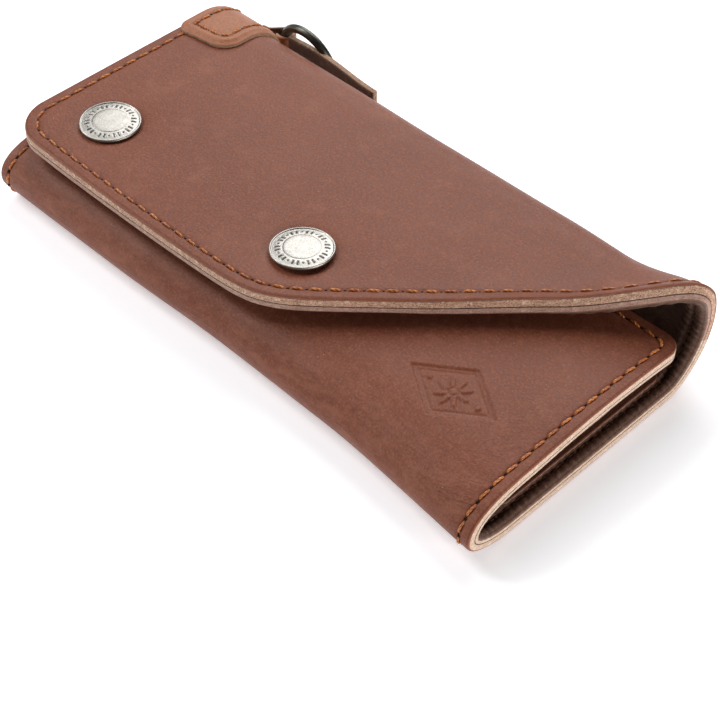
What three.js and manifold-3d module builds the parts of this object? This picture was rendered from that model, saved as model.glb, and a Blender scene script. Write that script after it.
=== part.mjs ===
// A long trifold leather wallet with a snapped diagonal flap and a chain ring at its spine.
// Units are millimetres, +Z is up. The wallet lies on its back panel:
//   +X runs along its length (to the end where the flap is cut away),
//   -Y is the near fold, +Y the spine. The origin is the centre of the back panel's outer face.
import * as THREE from "three";
import { mergeVertices } from "three/addons/utils/BufferGeometryUtils.js";
import Module from "manifold-3d";

const wasm = await Module();
wasm.setup();

// ---------------------------------------------------------------- driving dimensions

const LENGTH = 195;
const HALF_LENGTH = LENGTH / 2;
const GAP = 0.3;                  // air between two pieces that touch on the real wallet

const OUTER_THICKNESS = 2.0;      // outer leather
const LINING_THICKNESS = 1.7;     // lining leather
const SHELL_THICKNESS = OUTER_THICKNESS + GAP + LINING_THICKNESS;

const NEAR_FOLD_Y = -48;          // outermost line of the near fold
const NEAR_FOLD_Z = 8.3;          // height of that line, where the front leaf hinges
const BACK_START_Y = -38;         // back panel lies flat from here
const SPINE_Y = 35.5;             // centre of the spine's arc, end of the flat back panel
const SPINE_DEPTH = 13;           // how far the spine bulges past SPINE_Y
const FLAP_TOP = 26;              // height of the flap's outer face over the table
const FLAP_RISE = 9;              // how much higher the flap stands at the right-hand end
const RISE_START_X = 40;          // the rise begins here
const RISE_END_X = 92;            // and is complete here

const LEAF_EDGE_Y = 28.5;         // free edge of the front leaf
const LEAF_FLAT_Y = -29;          // leaf is nearly flat from here to its free edge
const LEAF_TOP = 18.2;            // height of the leaf's outer face
const LEAF_CROWN = 2.6;           // extra height of the leaf's crown at the right-hand end

const FLAP_FRONT_Y = -43;         // front edge of the flap
const FLAP_CORNER_X = 9;          // where the diagonal cut starts
const FLAP_CUT_SLOPE = 0.955;     // diagonal cut: depth gained per millimetre of length
const FLAP_CORNER_RADIUS = 10;    // rounded front left corner
const FLAP_SHORTEST = 2.5;        // what the cut leaves of the flap past its lip at the right-hand end

const SPINE_LOW_ANGLE = -52;      // the rigid strip of the spine, in degrees round its arc
const SPINE_HIGH_ANGLE = 46;
const LIP_LOW_ANGLE = -57;        // where the back panel's curved lip ends
const LIP_HIGH_ANGLE = 50;        // where the flap's curved lip starts

// snap fasteners
const SNAP_CENTRES = { left: [-75, -21.5], right: [5, -20] };
const CAP_RADIUS = 9.2;
const CAP_HEIGHT = 2.2;
const SHANK_RADIUS = 1.7;
const SHANK_HOLE_RADIUS = 2.4;
const SOCKET_RADIUS = 6;
const SOCKET_BORE_RADIUS = 3.0;
const STUD_HEAD_RADIUS = 2.3;

// chain ring and the leather that holds it
const RING_RADIUS = 11.1;         // to the middle of the wire
const RING_WIRE_RADIUS = 1.35;
const RING_HINGE_X = -81;         // the ring's left side turns in its keeper here
const RING_Y = 54.4;
const RING_Z = 13.4;
const STRAP_WIDTH = 20;
const STRAP_THICKNESS = 1.8;
const STRAP_END_Y = 26;           // rounded end of the strap on the flap
const TAB = { left: -75, right: -36.5, inner: 49.2, outer: 51.4, low: 6, high: 20 };

// inside
const POCKET_THICKNESS = 1.0;
const CARD_POCKET_MOUTHS = [17.5, 8, -1.5];  // the mouth edge of each stepped pocket, in y
const CARD_POCKET_FOOT_Y = -29;
const DIVIDER_THICKNESS = 0.8;
const TAPE_THICKNESS = 0.5;
const ZIP_Y = 15.5;
const ZIP_HALF_LENGTH = 84;
const COIL_HALF_WIDTH = 1.4;
const COIL_HEIGHT = 1.9;
const TAPE_WIDTH = 8;
const PANEL_SETBACK = 5;          // from the zip's middle to the panels on both sides of it

// ---------------------------------------------------------------- materials

const leatherLook = (color) => new THREE.MeshStandardMaterial({ color, roughness: 0.55, metalness: 0 });
const metalLook = (color) => new THREE.MeshStandardMaterial({ color, roughness: 0.35, metalness: 1 });
const OUTER_BROWN = 0x8c5c4e;
const LINING_BROWN = 0x4b342b;
const STRAP_BROWN = 0x946350;
const POCKET_BROWN = 0x6b4434;
const NICKEL = 0xb9b4aa;
const GUNMETAL = 0x4b4a45;
const BRASS = 0xb08d4c;
const TAPE_BROWN = 0x2e221c;

// ---------------------------------------------------------------- shape helpers

const group = new THREE.Group();

function addPart(name, geometry, material) {
  const mesh = new THREE.Mesh(geometry, material);
  mesh.name = name;
  group.add(mesh);
  return mesh;
}

function smoothStep(from, to, value) {
  const t = THREE.MathUtils.clamp((value - from) / (to - from), 0, 1);
  return t * t * (3 - 2 * t);
}

function toManifold(geometry) {
  const bare = geometry.clone();
  bare.deleteAttribute("normal");
  bare.deleteAttribute("uv");
  const merged = mergeVertices(bare, 1e-4);
  return new wasm.Manifold(new wasm.Mesh({
    numProp: 3,
    vertProperties: new Float32Array(merged.attributes.position.array),
    triVerts: new Uint32Array(merged.index.array),
  }));
}

function fromManifold(solid) {
  const mesh = solid.getMesh();
  const geometry = new THREE.BufferGeometry();
  geometry.setAttribute("position", new THREE.BufferAttribute(mesh.vertProperties, 3));
  geometry.setIndex(new THREE.BufferAttribute(mesh.triVerts, 1));
  geometry.computeVertexNormals();
  return geometry;
}

function cutWith(geometry, cutters) {
  let solid = toManifold(geometry);
  for (const cutter of cutters) {
    solid = solid.subtract(toManifold(cutter));
  }
  return fromManifold(solid);
}

function evenly(from, to, count) {
  return Array.from({ length: count }, (_, i) => from + ((to - from) * i) / (count - 1));
}

// A lathe about a vertical axis; its profile lists [radius, height] pairs.
function turned(profile, segments, x, y, z) {
  const points = profile.map(([radius, height]) => new THREE.Vector2(radius, height));
  const geometry = new THREE.LatheGeometry(points, segments);
  geometry.rotateX(Math.PI / 2);
  geometry.translate(x, y, z);
  return geometry;
}

// A flat outline in x and y, raised from one height to another.
function plate(outline, low, high) {
  const geometry = new THREE.ExtrudeGeometry(outline, { depth: high - low, bevelEnabled: false, curveSegments: 6 });
  geometry.translate(0, 0, low);
  return geometry;
}

function roundedRectangle(left, right, near, far, radius) {
  const shape = new THREE.Shape();
  shape.moveTo(left + radius, near);
  shape.lineTo(right - radius, near);
  shape.absarc(right - radius, near + radius, radius, -Math.PI / 2, 0);
  shape.lineTo(right, far - radius);
  shape.absarc(right - radius, far - radius, radius, 0, Math.PI / 2);
  shape.lineTo(left + radius, far);
  shape.absarc(left + radius, far - radius, radius, Math.PI / 2, Math.PI);
  shape.lineTo(left, near + radius);
  shape.absarc(left + radius, near + radius, radius, Math.PI, 1.5 * Math.PI);
  return shape;
}

function box(left, right, near, far, low, high) {
  const geometry = new THREE.BoxGeometry(right - left, far - near, high - low);
  geometry.translate((left + right) / 2, (near + far) / 2, (low + high) / 2);
  return geometry;
}

// ---------------------------------------------------------------- the wallet's wrapped surface
// Each profile lists [y, z] points of the outer face at one x, in the order that the leather is
// wrapped: leaf edge, near fold, back panel, spine, flap front. The inside is on its left.

function flapTop(x) {
  return FLAP_TOP + FLAP_RISE * smoothStep(RISE_START_X, RISE_END_X, x);
}

function spinePoint(x, degrees) {
  const angle = THREE.MathUtils.degToRad(degrees);
  const halfHeight = flapTop(x) / 2;
  return [SPINE_Y + SPINE_DEPTH * Math.cos(angle), halfHeight * (1 + Math.sin(angle))];
}

function leafTop(x, y) {
  const across = THREE.MathUtils.clamp((y - LEAF_FLAT_Y) / (LEAF_EDGE_Y - LEAF_FLAT_Y), 0, 1);
  const crown = LEAF_CROWN * smoothStep(20, HALF_LENGTH, x);
  return LEAF_TOP + crown * Math.sin(Math.PI * (0.15 + 0.75 * across));
}

function curvePoints(start, startHandle, endHandle, end, count) {
  const curve = new THREE.CubicBezierCurve(
    new THREE.Vector2(...start), new THREE.Vector2(...startHandle),
    new THREE.Vector2(...endHandle), new THREE.Vector2(...end));
  return curve.getPoints(count - 1).map((point) => [point.x, point.y]);
}

function nearFoldUpper(x) {
  const top = leafTop(x, LEAF_FLAT_Y);
  return curvePoints(
    [LEAF_FLAT_Y, top], [LEAF_FLAT_Y - 10, top - 0.3],
    [NEAR_FOLD_Y, NEAR_FOLD_Z + 6], [NEAR_FOLD_Y, NEAR_FOLD_Z + 0.2], 8);
}

function nearFoldLower() {
  return curvePoints(
    [NEAR_FOLD_Y, NEAR_FOLD_Z - 0.2], [NEAR_FOLD_Y, NEAR_FOLD_Z - 5],
    [BACK_START_Y - 6, 0], [BACK_START_Y, 0], 6);
}

function leafProfile(x) {
  const flat = evenly(LEAF_EDGE_Y, LEAF_FLAT_Y, 9).map((y) => [y, leafTop(x, y)]);
  return [...flat.slice(0, -1), ...nearFoldUpper(x)];
}

function backProfile(x) {
  const lip = evenly(-90, LIP_LOW_ANGLE, 5).map((angle) => spinePoint(x, angle));
  return [...nearFoldLower(), ...lip];
}

function spineProfile(x) {
  return evenly(SPINE_LOW_ANGLE, SPINE_HIGH_ANGLE, 9).map((angle) => spinePoint(x, angle));
}

// How far forward the flap reaches at x: a rounded left corner, a straight front, a diagonal cut.
function flapFront(x) {
  const fromEnd = x + HALF_LENGTH;
  if (fromEnd < FLAP_CORNER_RADIUS) {
    const across = FLAP_CORNER_RADIUS - fromEnd;
    return FLAP_FRONT_Y + FLAP_CORNER_RADIUS - Math.sqrt(FLAP_CORNER_RADIUS ** 2 - across ** 2);
  }
  return FLAP_FRONT_Y + FLAP_CUT_SLOPE * Math.max(0, x - FLAP_CORNER_X);
}

const LIP_LENGTH_Y = spinePoint(0, LIP_HIGH_ANGLE)[0] - SPINE_Y;

function flapProfile(x) {
  const front = flapFront(x);
  const cutIntoLip = THREE.MathUtils.clamp((front - SPINE_Y) / LIP_LENGTH_Y, 0, 0.5);
  const lipEnd = 90 - cutIntoLip * (90 - LIP_HIGH_ANGLE);
  const lip = evenly(LIP_HIGH_ANGLE, lipEnd, 5).map((angle) => spinePoint(x, angle));
  const lipTail = lip[lip.length - 1];
  const reach = Math.max(SPINE_Y - front, FLAP_SHORTEST);
  const flat = evenly(1 / 4, 1, 4).map((part) => [lipTail[0] - part * reach, lipTail[1]]);
  return [...lip, ...flat];
}

// The direction of a profile at one of its points; at an end it is that of the curve itself.
function directionAt(profile, i) {
  const last = profile.length - 1;
  const along = (a, b) => [b[0] - a[0], b[1] - a[1]];
  if (i > 0 && i < last) {
    return along(profile[i - 1], profile[i + 1]);
  }
  const inward = i === 0 ? 1 : -1;
  const chord = along(profile[i], profile[i + inward]);
  const nextChord = along(profile[i + inward], profile[i + 2 * inward]);
  return [inward * (1.5 * chord[0] - 0.5 * nextChord[0]), inward * (1.5 * chord[1] - 0.5 * nextChord[1])];
}

// Moves every point of a profile inwards by a depth, square to the leather.
function inset(profile, depth) {
  return profile.map(([y, z], i) => {
    const along = directionAt(profile, i);
    const size = Math.hypot(...along);
    return [y - (along[1] / size) * depth, z + (along[0] / size) * depth];
  });
}

// A closed leather sheet between two depths under the outer face, one profile per x.
function sheet(profileAt, columns, fromDepth, toDepth) {
  const outside = columns.map((x) => inset(profileAt(x), fromDepth).map(([y, z]) => [x, y, z]));
  const inside = columns.map((x) => inset(profileAt(x), toDepth).map(([y, z]) => [x, y, z]));
  const rows = outside[0].length;
  const positions = [...outside.flat(), ...inside.flat()].flat();
  const insideStart = columns.length * rows;
  const index = [];
  const quad = (a, b, c, d) => index.push(a, b, c, a, c, d);
  for (let i = 0; i < columns.length - 1; i += 1) {
    for (let j = 0; j < rows - 1; j += 1) {
      const a = i * rows + j;
      const b = a + rows;
      quad(a, a + 1, b + 1, b);
      quad(insideStart + a, insideStart + b, insideStart + b + 1, insideStart + a + 1);
    }
    const first = i * rows;
    const last = first + rows - 1;
    quad(first, first + rows, insideStart + first + rows, insideStart + first);
    quad(last + rows, last, insideStart + last, insideStart + last + rows);
  }
  for (let j = 0; j < rows - 1; j += 1) {
    const left = j;
    const right = (columns.length - 1) * rows + j;
    quad(left + 1, left, insideStart + left, insideStart + left + 1);
    quad(right, right + 1, insideStart + right + 1, insideStart + right);
  }
  const geometry = new THREE.BufferGeometry();
  geometry.setAttribute("position", new THREE.Float32BufferAttribute(positions, 3));
  geometry.setIndex(index);
  geometry.computeVertexNormals();
  return geometry;
}

const SHELL_COLUMNS = [-HALF_LENGTH, 25, RISE_START_X, 52, 66, 80, RISE_END_X, HALF_LENGTH];
const FLAP_COLUMNS = [
  -HALF_LENGTH, -96.9, -95.5, -92.5, -HALF_LENGTH + FLAP_CORNER_RADIUS,
  -40, FLAP_CORNER_X, 30, RISE_START_X, 52, 66, 80, RISE_END_X, HALF_LENGTH,
];

// ---------------------------------------------------------------- shell: outer leather and lining

function snapHoles() {
  return Object.values(SNAP_CENTRES).map(([x, y]) => {
    const hole = new THREE.CylinderGeometry(SHANK_HOLE_RADIUS, SHANK_HOLE_RADIUS, 40, 12);
    hole.rotateX(Math.PI / 2);
    hole.translate(x, y, LEAF_TOP);
    return hole;
  });
}

function shellLayer(prefix, color, fromDepth, toDepth) {
  const look = leatherLook(color);
  const leaf = sheet(leafProfile, SHELL_COLUMNS, fromDepth, toDepth);
  const flap = sheet(flapProfile, FLAP_COLUMNS, fromDepth, toDepth);
  addPart(`${prefix}_front_panel`, drilled(leaf), look);
  addPart(`${prefix}_back_panel`, sheet(backProfile, SHELL_COLUMNS, fromDepth, toDepth), look);
  addPart(`${prefix}_spine`, sheet(spineProfile, SHELL_COLUMNS, fromDepth, toDepth), look);
  addPart(`${prefix}_flap`, drilled(flap), look);
}

function drilled(geometry) {
  return cutWith(geometry, snapHoles());
}

shellLayer("outer", OUTER_BROWN, 0, OUTER_THICKNESS);
shellLayer("lining", LINING_BROWN, OUTER_THICKNESS + GAP, SHELL_THICKNESS);

// ---------------------------------------------------------------- snap fasteners

function snap(side, [x, y]) {
  const nickel = metalLook(NICKEL);
  const capFoot = FLAP_TOP + GAP;
  const flapUnderside = FLAP_TOP - SHELL_THICKNESS;
  const cap = [
    [0, -3.2], [SHANK_RADIUS, -3.2], [SHANK_RADIUS, 0], [CAP_RADIUS - 0.4, 0],
    [CAP_RADIUS, 0.5], [CAP_RADIUS - 0.4, 1.3], [CAP_RADIUS - 1.8, 1.7], [4, CAP_HEIGHT], [0, CAP_HEIGHT],
  ];
  addPart(`${side}_snap_cap`, turned(cap, 28, x, y, capFoot), nickel);

  const socketTop = flapUnderside - GAP;
  const socket = [
    [SOCKET_BORE_RADIUS, -1.9], [SOCKET_RADIUS - 1, -1.9], [SOCKET_RADIUS, -1.2], [SOCKET_RADIUS, 0],
    [SOCKET_BORE_RADIUS, 0], [SOCKET_BORE_RADIUS, -1.9],
  ];
  addPart(`${side}_snap_socket`, turned(socket, 20, x, y, socketTop), nickel);

  const studFoot = LEAF_TOP + GAP;
  const stud = [
    [0, 0], [SOCKET_RADIUS, 0], [SOCKET_RADIUS - 0.2, 0.7], [1.9, 0.7],
    [1.9, 1.6], [STUD_HEAD_RADIUS, 2.1], [1.8, 2.7], [0, 2.9],
  ];
  addPart(`${side}_snap_stud`, turned(stud, 20, x, y, studFoot), nickel);

  const eyeletTop = LEAF_TOP - SHELL_THICKNESS - GAP;
  const eyelet = [
    [0, -0.8], [5.2, -0.8], [5.4, -0.4], [5.2, 0], [SHANK_RADIUS, 0], [SHANK_RADIUS, 4], [0, 4],
  ];
  addPart(`${side}_snap_eyelet`, turned(eyelet, 20, x, y, eyeletTop), nickel);
}

for (const [side, centre] of Object.entries(SNAP_CENTRES)) {
  snap(side, centre);
}

// ---------------------------------------------------------------- corner strap, ring keeper, ring, tab

const STRAP_COLUMNS = [-HALF_LENGTH, -94, -90, -86, -82, -HALF_LENGTH + STRAP_WIDTH];

function strapEnd(x) {
  const across = (x + HALF_LENGTH - STRAP_WIDTH / 2) / (STRAP_WIDTH / 2);
  return STRAP_END_Y + 4 * across ** 4;
}

function patchProfile(x) {
  const lip = evenly(LIP_HIGH_ANGLE, 90, 5).map((angle) => spinePoint(x, angle));
  const flat = evenly(SPINE_Y, strapEnd(x), 4).slice(1).map((y) => [y, FLAP_TOP]);
  return [...lip, ...flat];
}

function strapProfile(x) {
  return evenly(SPINE_LOW_ANGLE + 10, SPINE_HIGH_ANGLE, 7).map((angle) => spinePoint(x, angle));
}

const strapLook = leatherLook(STRAP_BROWN);
const strapOuterDepth = -GAP - STRAP_THICKNESS;
addPart("corner_patch", sheet(patchProfile, STRAP_COLUMNS, strapOuterDepth, -GAP), strapLook);
addPart("corner_strap", sheet(strapProfile, STRAP_COLUMNS, strapOuterDepth, -GAP), strapLook);

function ringKeeper() {
  const loopRadius = 3.4;
  const tunnelRadius = 2.0;
  const tailX = -93;
  const tailInner = SPINE_Y + SPINE_DEPTH + STRAP_THICKNESS + 2 * GAP + 0.2;
  const shape = new THREE.Shape();
  shape.absarc(RING_HINGE_X, RING_Y, loopRadius, -Math.PI * 0.55, Math.PI * 0.62);
  shape.lineTo(tailX, tailInner + 2);
  shape.lineTo(tailX, tailInner);
  shape.lineTo(RING_HINGE_X - 4.5, tailInner);
  const tunnel = new THREE.Path();
  tunnel.absarc(RING_HINGE_X, RING_Y, tunnelRadius, 0, 2 * Math.PI, true);
  shape.holes.push(tunnel);
  return plate(shape, RING_Z - 3.5, RING_Z + 3.5);
}

addPart("ring_keeper", ringKeeper(), strapLook);

const ring = new THREE.TorusGeometry(RING_RADIUS, RING_WIRE_RADIUS, 8, 32);
ring.rotateX(Math.PI / 2);
ring.translate(RING_HINGE_X + RING_RADIUS, RING_Y, RING_Z);
addPart("chain_ring", ring, metalLook(GUNMETAL));

addPart("spine_tab", box(TAB.left, TAB.right, TAB.inner, TAB.outer, TAB.low, TAB.high), strapLook);

// ---------------------------------------------------------------- card pockets under the front leaf

function leafLayer(left, right, foot, mouth, fromDepth) {
  const profileAt = (x) => evenly(mouth, foot, 7).map((y) => [y, leafTop(x, y)]);
  const columns = [left, ...SHELL_COLUMNS.filter((x) => x > left && x < right), right];
  return sheet(profileAt, columns, fromDepth, fromDepth + POCKET_THICKNESS);
}

const pocketLook = leatherLook(POCKET_BROWN);
const POCKET_SIDES = { left: [-92, -1], right: [1, 92] };
const layerStep = POCKET_THICKNESS + GAP;
const eyeletRoom = 1.1 + GAP;
const backingDepth = SHELL_THICKNESS + eyeletRoom;
addPart("card_backing", leafLayer(-93, 93, CARD_POCKET_FOOT_Y, 25, backingDepth), pocketLook);
for (const [side, [left, right]] of Object.entries(POCKET_SIDES)) {
  CARD_POCKET_MOUTHS.forEach((mouth, i) => {
    const layer = leafLayer(left, right, CARD_POCKET_FOOT_Y, mouth, backingDepth + (i + 1) * layerStep);
    addPart(`card_pocket_${side}_${i + 1}`, layer, pocketLook);
  });
}

// ---------------------------------------------------------------- note divider and zipped coin pocket

const dividerLow = SHELL_THICKNESS + GAP;
const dividerHigh = dividerLow + DIVIDER_THICKNESS;
addPart("note_divider", plate(roundedRectangle(-93, 93, -36, 29, 4), dividerLow, dividerHigh), pocketLook);

const tapeLow = dividerHigh + GAP;
const tapeHigh = tapeLow + TAPE_THICKNESS;
const tapeLook = leatherLook(TAPE_BROWN);
const tapeInner = COIL_HALF_WIDTH + GAP;
const zipEnd = ZIP_HALF_LENGTH;
addPart("zip_tape_near",
  box(-zipEnd - 4, zipEnd + 4, ZIP_Y - tapeInner - TAPE_WIDTH, ZIP_Y - tapeInner, tapeLow, tapeHigh), tapeLook);
addPart("zip_tape_far",
  box(-zipEnd - 4, zipEnd + 4, ZIP_Y + tapeInner, ZIP_Y + tapeInner + TAPE_WIDTH, tapeLow, tapeHigh), tapeLook);
addPart("zip_coil",
  box(-zipEnd, zipEnd, ZIP_Y - COIL_HALF_WIDTH, ZIP_Y + COIL_HALF_WIDTH, tapeLow, tapeLow + COIL_HEIGHT), tapeLook);

const panelLow = tapeHigh + GAP;
const panelHigh = panelLow + POCKET_THICKNESS;
addPart("coin_pocket_front",
  plate(roundedRectangle(-92, 92, -33, ZIP_Y - PANEL_SETBACK, 3), panelLow, panelHigh), pocketLook);
addPart("zip_facing",
  plate(roundedRectangle(-92, 92, ZIP_Y + PANEL_SETBACK, 28, 3), panelLow, panelHigh), pocketLook);

const brassLook = metalLook(BRASS);
const stopHalfWidth = 2.2;
for (const [name, x] of [["zip_stop_left", -zipEnd - 1.6], ["zip_stop_right", zipEnd + 1.6]]) {
  addPart(name, box(x - 1, x + 1, ZIP_Y - stopHalfWidth, ZIP_Y + stopHalfWidth, tapeHigh + GAP, panelHigh), brassLook);
}

// The slider straddles the coil and carries a pull that lies flat towards +X. The pull hangs on
// a bridge at the slider's left end, so its short tail can tip down past that end as it lifts.
const SLIDER_X = -zipEnd + 6;
const SLIDER_LENGTH = 9;
const BRIDGE_LENGTH = 0.8;
const PULL_HINGE_X = SLIDER_X + 0.3;
const PULL_TAIL = 2.3;
const PULL_LENGTH = 27;
const PULL_THICKNESS = 1.2;
const PULL_HALF_WIDTH = 4;
const PULL_CORNER_RADIUS = 2.2;
const PULL_EYE_RADIUS = 1.6;
const coilTop = tapeLow + COIL_HEIGHT;
const sliderTop = coilTop + GAP + 0.8;
const pullLow = sliderTop + 0.5;

function zipSlider() {
  const end = SLIDER_X + SLIDER_LENGTH;
  const flangeInner = COIL_HALF_WIDTH + GAP + 0.1;
  const flangeOuter = flangeInner + 0.8;
  const plateBlock = box(SLIDER_X, end, ZIP_Y - flangeOuter, ZIP_Y + flangeOuter, coilTop + GAP, sliderTop);
  let solid = toManifold(plateBlock);
  for (const side of [-1, 1]) {
    const near = ZIP_Y + side * flangeInner;
    const far = ZIP_Y + side * flangeOuter;
    const flange = box(SLIDER_X, end, Math.min(near, far), Math.max(near, far), tapeHigh + GAP, sliderTop);
    solid = solid.add(toManifold(flange));
  }
  const bridgeEnd = SLIDER_X + BRIDGE_LENGTH;
  const bridge = box(SLIDER_X, bridgeEnd, ZIP_Y - 0.5, ZIP_Y + 0.5, coilTop + GAP, sliderTop + 1.7);
  return fromManifold(solid.add(toManifold(bridge)));
}

function zipPull() {
  const left = PULL_HINGE_X - PULL_TAIL;
  const shape = roundedRectangle(
    left, left + PULL_LENGTH, ZIP_Y - PULL_HALF_WIDTH, ZIP_Y + PULL_HALF_WIDTH, PULL_CORNER_RADIUS);
  const eye = new THREE.Path();
  eye.absarc(PULL_HINGE_X, ZIP_Y, PULL_EYE_RADIUS, 0, 2 * Math.PI, true);
  shape.holes.push(eye);
  return plate(shape, pullLow, pullLow + PULL_THICKNESS);
}

addPart("zip_slider", zipSlider(), brassLook);
addPart("zip_pull", zipPull(), brassLook);

export default group;
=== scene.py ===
"""The looks of a long trifold leather wallet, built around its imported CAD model.

Shapes are worked out in millimetres, in the frame of the CAD model: +X along the wallet's length,
-Y at the near fold, +Y at the spine, +Z up. The wallet's leather is one strip that wraps from the
front leaf's free edge round the near fold, under the back panel, round the spine and over the top
to the flap's front. A place on it is (x, s): s is the length along the strip, 0 at mid-spine.
"""

import math

import bpy
import numpy as np
from mathutils import Matrix, Vector


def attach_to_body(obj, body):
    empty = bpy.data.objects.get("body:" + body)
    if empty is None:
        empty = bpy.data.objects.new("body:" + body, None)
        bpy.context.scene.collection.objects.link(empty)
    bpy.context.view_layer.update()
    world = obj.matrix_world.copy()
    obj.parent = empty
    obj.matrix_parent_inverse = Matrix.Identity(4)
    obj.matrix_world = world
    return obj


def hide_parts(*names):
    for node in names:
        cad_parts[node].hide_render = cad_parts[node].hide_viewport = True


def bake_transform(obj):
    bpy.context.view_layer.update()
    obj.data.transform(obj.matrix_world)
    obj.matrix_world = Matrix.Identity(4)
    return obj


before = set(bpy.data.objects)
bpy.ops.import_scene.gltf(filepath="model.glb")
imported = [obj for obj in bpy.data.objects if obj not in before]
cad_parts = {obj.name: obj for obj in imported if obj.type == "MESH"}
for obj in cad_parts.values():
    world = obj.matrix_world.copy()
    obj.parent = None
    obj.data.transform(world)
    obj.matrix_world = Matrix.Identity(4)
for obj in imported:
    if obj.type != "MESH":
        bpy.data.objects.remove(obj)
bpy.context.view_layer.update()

MM = 0.001

# ---------------------------------------------------------------- driving dimensions

HALF_LENGTH = 97.5
OUTER_THICKNESS = 2.3
SHELL_THICKNESS = 4.0
FLAP_EDGE_EXTRA = 0.9             # the flap's cut edge is thicker than its middle
LAYER_LINE = 0.22                 # the glued line between outer leather and lining

LEAF_EDGE_Y = 31.0
LEAF_FLAT_Y = -29.0
LEAF_TOP = 18.2
LEAF_CROWN = 2.6
NEAR_FOLD_Y = -48.0
NEAR_FOLD_Z = 8.3
NEAR_FOLD_DRIFT = 5.6             # the fold runs out this much further towards its right end
BACK_START_Y = -38.0
BACK_END_Y = 33.0                 # the back panel's piece ends here, on the flat
ON_LEAF_S = -120.0                # beyond this, s lies on the front leaf
ON_NEAR_FOLD_S = -60.0            # beyond this, s lies at the near fold or on the front leaf
ON_FLAP_S = 12.0                  # from here on, s lies on the flap
SPINE_Y = 35.5
SPINE_DEPTH = 13.0
MID_SPINE_Z = 13.0                # the spine's lower and upper pieces meet at this height
FLAP_TOP = 26.0
FLAP_RISE = 7.2                   # the spine's upper edge is this much higher at its right end

FLAP_FRONT_Y = -43.3
FLAP_FRONT_BOW = 0.00045          # the straight front bows out a little, by this times the distance squared
FLAP_CORNER_X = 10.5
FLAP_CUT_SLOPE = 0.945
FLAP_CORNER_RADIUS = 13.0
FLAP_BEND_LENGTH = 4.0            # how gently the straight front turns into the diagonal cut
LEAF_CORNER_RADIUS = 6.0
TIP_RADIUS = 3.0

SEAM_INSET = 3.6
CREASE_INSET = 0.55               # a line pressed beside every cut edge
STITCH_PITCH = 5.1
THREAD_RADIUS = 0.4
LINING_THREAD_RADIUS = 0.3
FINE_PITCH = 3.6                  # of the seams on the pockets inside
FINE_THREAD_RADIUS = 0.26
HOLE_LENGTH = 1.45
HOLE_WIDTH = 0.85

SNAP_CENTRES = {"left": (-75.0, -21.5), "right": (5.0, -20.0)}
CAP_RADIUS = 9.2
CAP_FOOT = FLAP_TOP - 0.65
CAP_TILTS = {"left": -1.0, "right": 4.0}

STRAP_RIGHT_X = -76.8
STRAP_THICKNESS = 1.8
STRAP_END_Y = 22.9
STRAP_FOOT_S = -9.0
STRAP_LEFT_RADIUS = 4.5
STRAP_RIGHT_RADIUS = 6.5

RING_CENTRE = (-70.2, 54.4, 13.0)
RING_RADIUS = 10.8
RING_WIRE_RADIUS = 1.4
RING_TILT = 10.0
RING_SEGMENTS = 128
RING_SIDES = 28

MOTIF_CENTRE = (66.0, -25.0)      # the pressed ornament on the front panel
MOTIF_HALF_SIZE = (15.0, 10.0)

# Joints that the leather crosses: (first body, second body, start, end) in mm; pieces given one are baked in
# place.
NEAR_FOLD_BEND = ("back", "front_leaf", (0, -48.0, 4.5), (0, -48.0, 13.8))
SPINE_FOLD_BEND = ("back", "spine", (0, 37.0, 3.0), (0, 44.5, 10.5))
FLAP_FOLD_BEND = ("spine", "flap", (0, 46.0, 16.5), (0, 38.5, 24.0))


# ---------------------------------------------------------------- small helpers

def smooth_step(start, end, value):
    t = np.clip((np.asarray(value, float) - start) / (end - start), 0.0, 1.0)
    return t * t * (3.0 - 2.0 * t)


def hump(value, centre, width):
    """1 at the centre and falling off smoothly to 0 over about twice the width."""
    return np.exp(-(((value - centre) / width) ** 2))


def rounding(distance, radius):
    """How deep a rounded edge lies under the face, at a distance from the rim."""
    inside = np.clip(radius - distance, 0.0, radius)
    return radius - np.sqrt(radius**2 - inside**2)


def normalised(vectors):
    return vectors / np.maximum(np.linalg.norm(vectors, axis=-1, keepdims=True), 1e-9)


def run_lengths(points):
    """The distance along a line of points, from its start to each of them."""
    steps = np.linalg.norm(np.diff(points, axis=0), axis=1)
    return np.concatenate([[0], np.cumsum(steps)])


def over_rows(columns, rows):
    """The columns' values spread over a grid of rows."""
    return np.broadcast_to(columns[:, None], rows.shape)


def ripple(a, b):
    """A slow unevenness between -1 and 1, as hand-finished leather has."""
    return (0.5 * np.sin(a / 17.0 + 1.3 + 0.8 * np.sin(b / 29.0))
            + 0.3 * np.sin(b / 13.0 + 0.4 + a / 41.0)
            + 0.2 * np.sin(a / 7.3 + b / 9.1 + 2.1))


# ---------------------------------------------------------------- the wrapped surface

def leaf_top(x, y):
    """Height of the front leaf's outer face."""
    across = np.clip((y - LEAF_FLAT_Y) / (LEAF_EDGE_Y - LEAF_FLAT_Y), 0.0, 1.0)
    crown = LEAF_CROWN * smooth_step(20, HALF_LENGTH, x) * np.sin(np.pi * (0.15 + 0.75 * across))
    left_drop = 2.6 * (1 - smooth_step(-HALF_LENGTH, -55, x)) * (1 - smooth_step(-42, -24, y))
    return LEAF_TOP + crown - left_drop


def flap_front_line(x):
    """The flap's front before its left corner is rounded: a slight bow, then the diagonal cut."""
    bow = FLAP_FRONT_BOW * (np.minimum(x, FLAP_CORNER_X) + 45.0) ** 2
    past_corner = (x - FLAP_CORNER_X) / FLAP_BEND_LENGTH
    return FLAP_FRONT_Y + bow + FLAP_CUT_SLOPE * FLAP_BEND_LENGTH * np.logaddexp(0, past_corner)


def flap_top(x):
    return FLAP_TOP + FLAP_RISE * smooth_step(66, 101, x)


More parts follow.
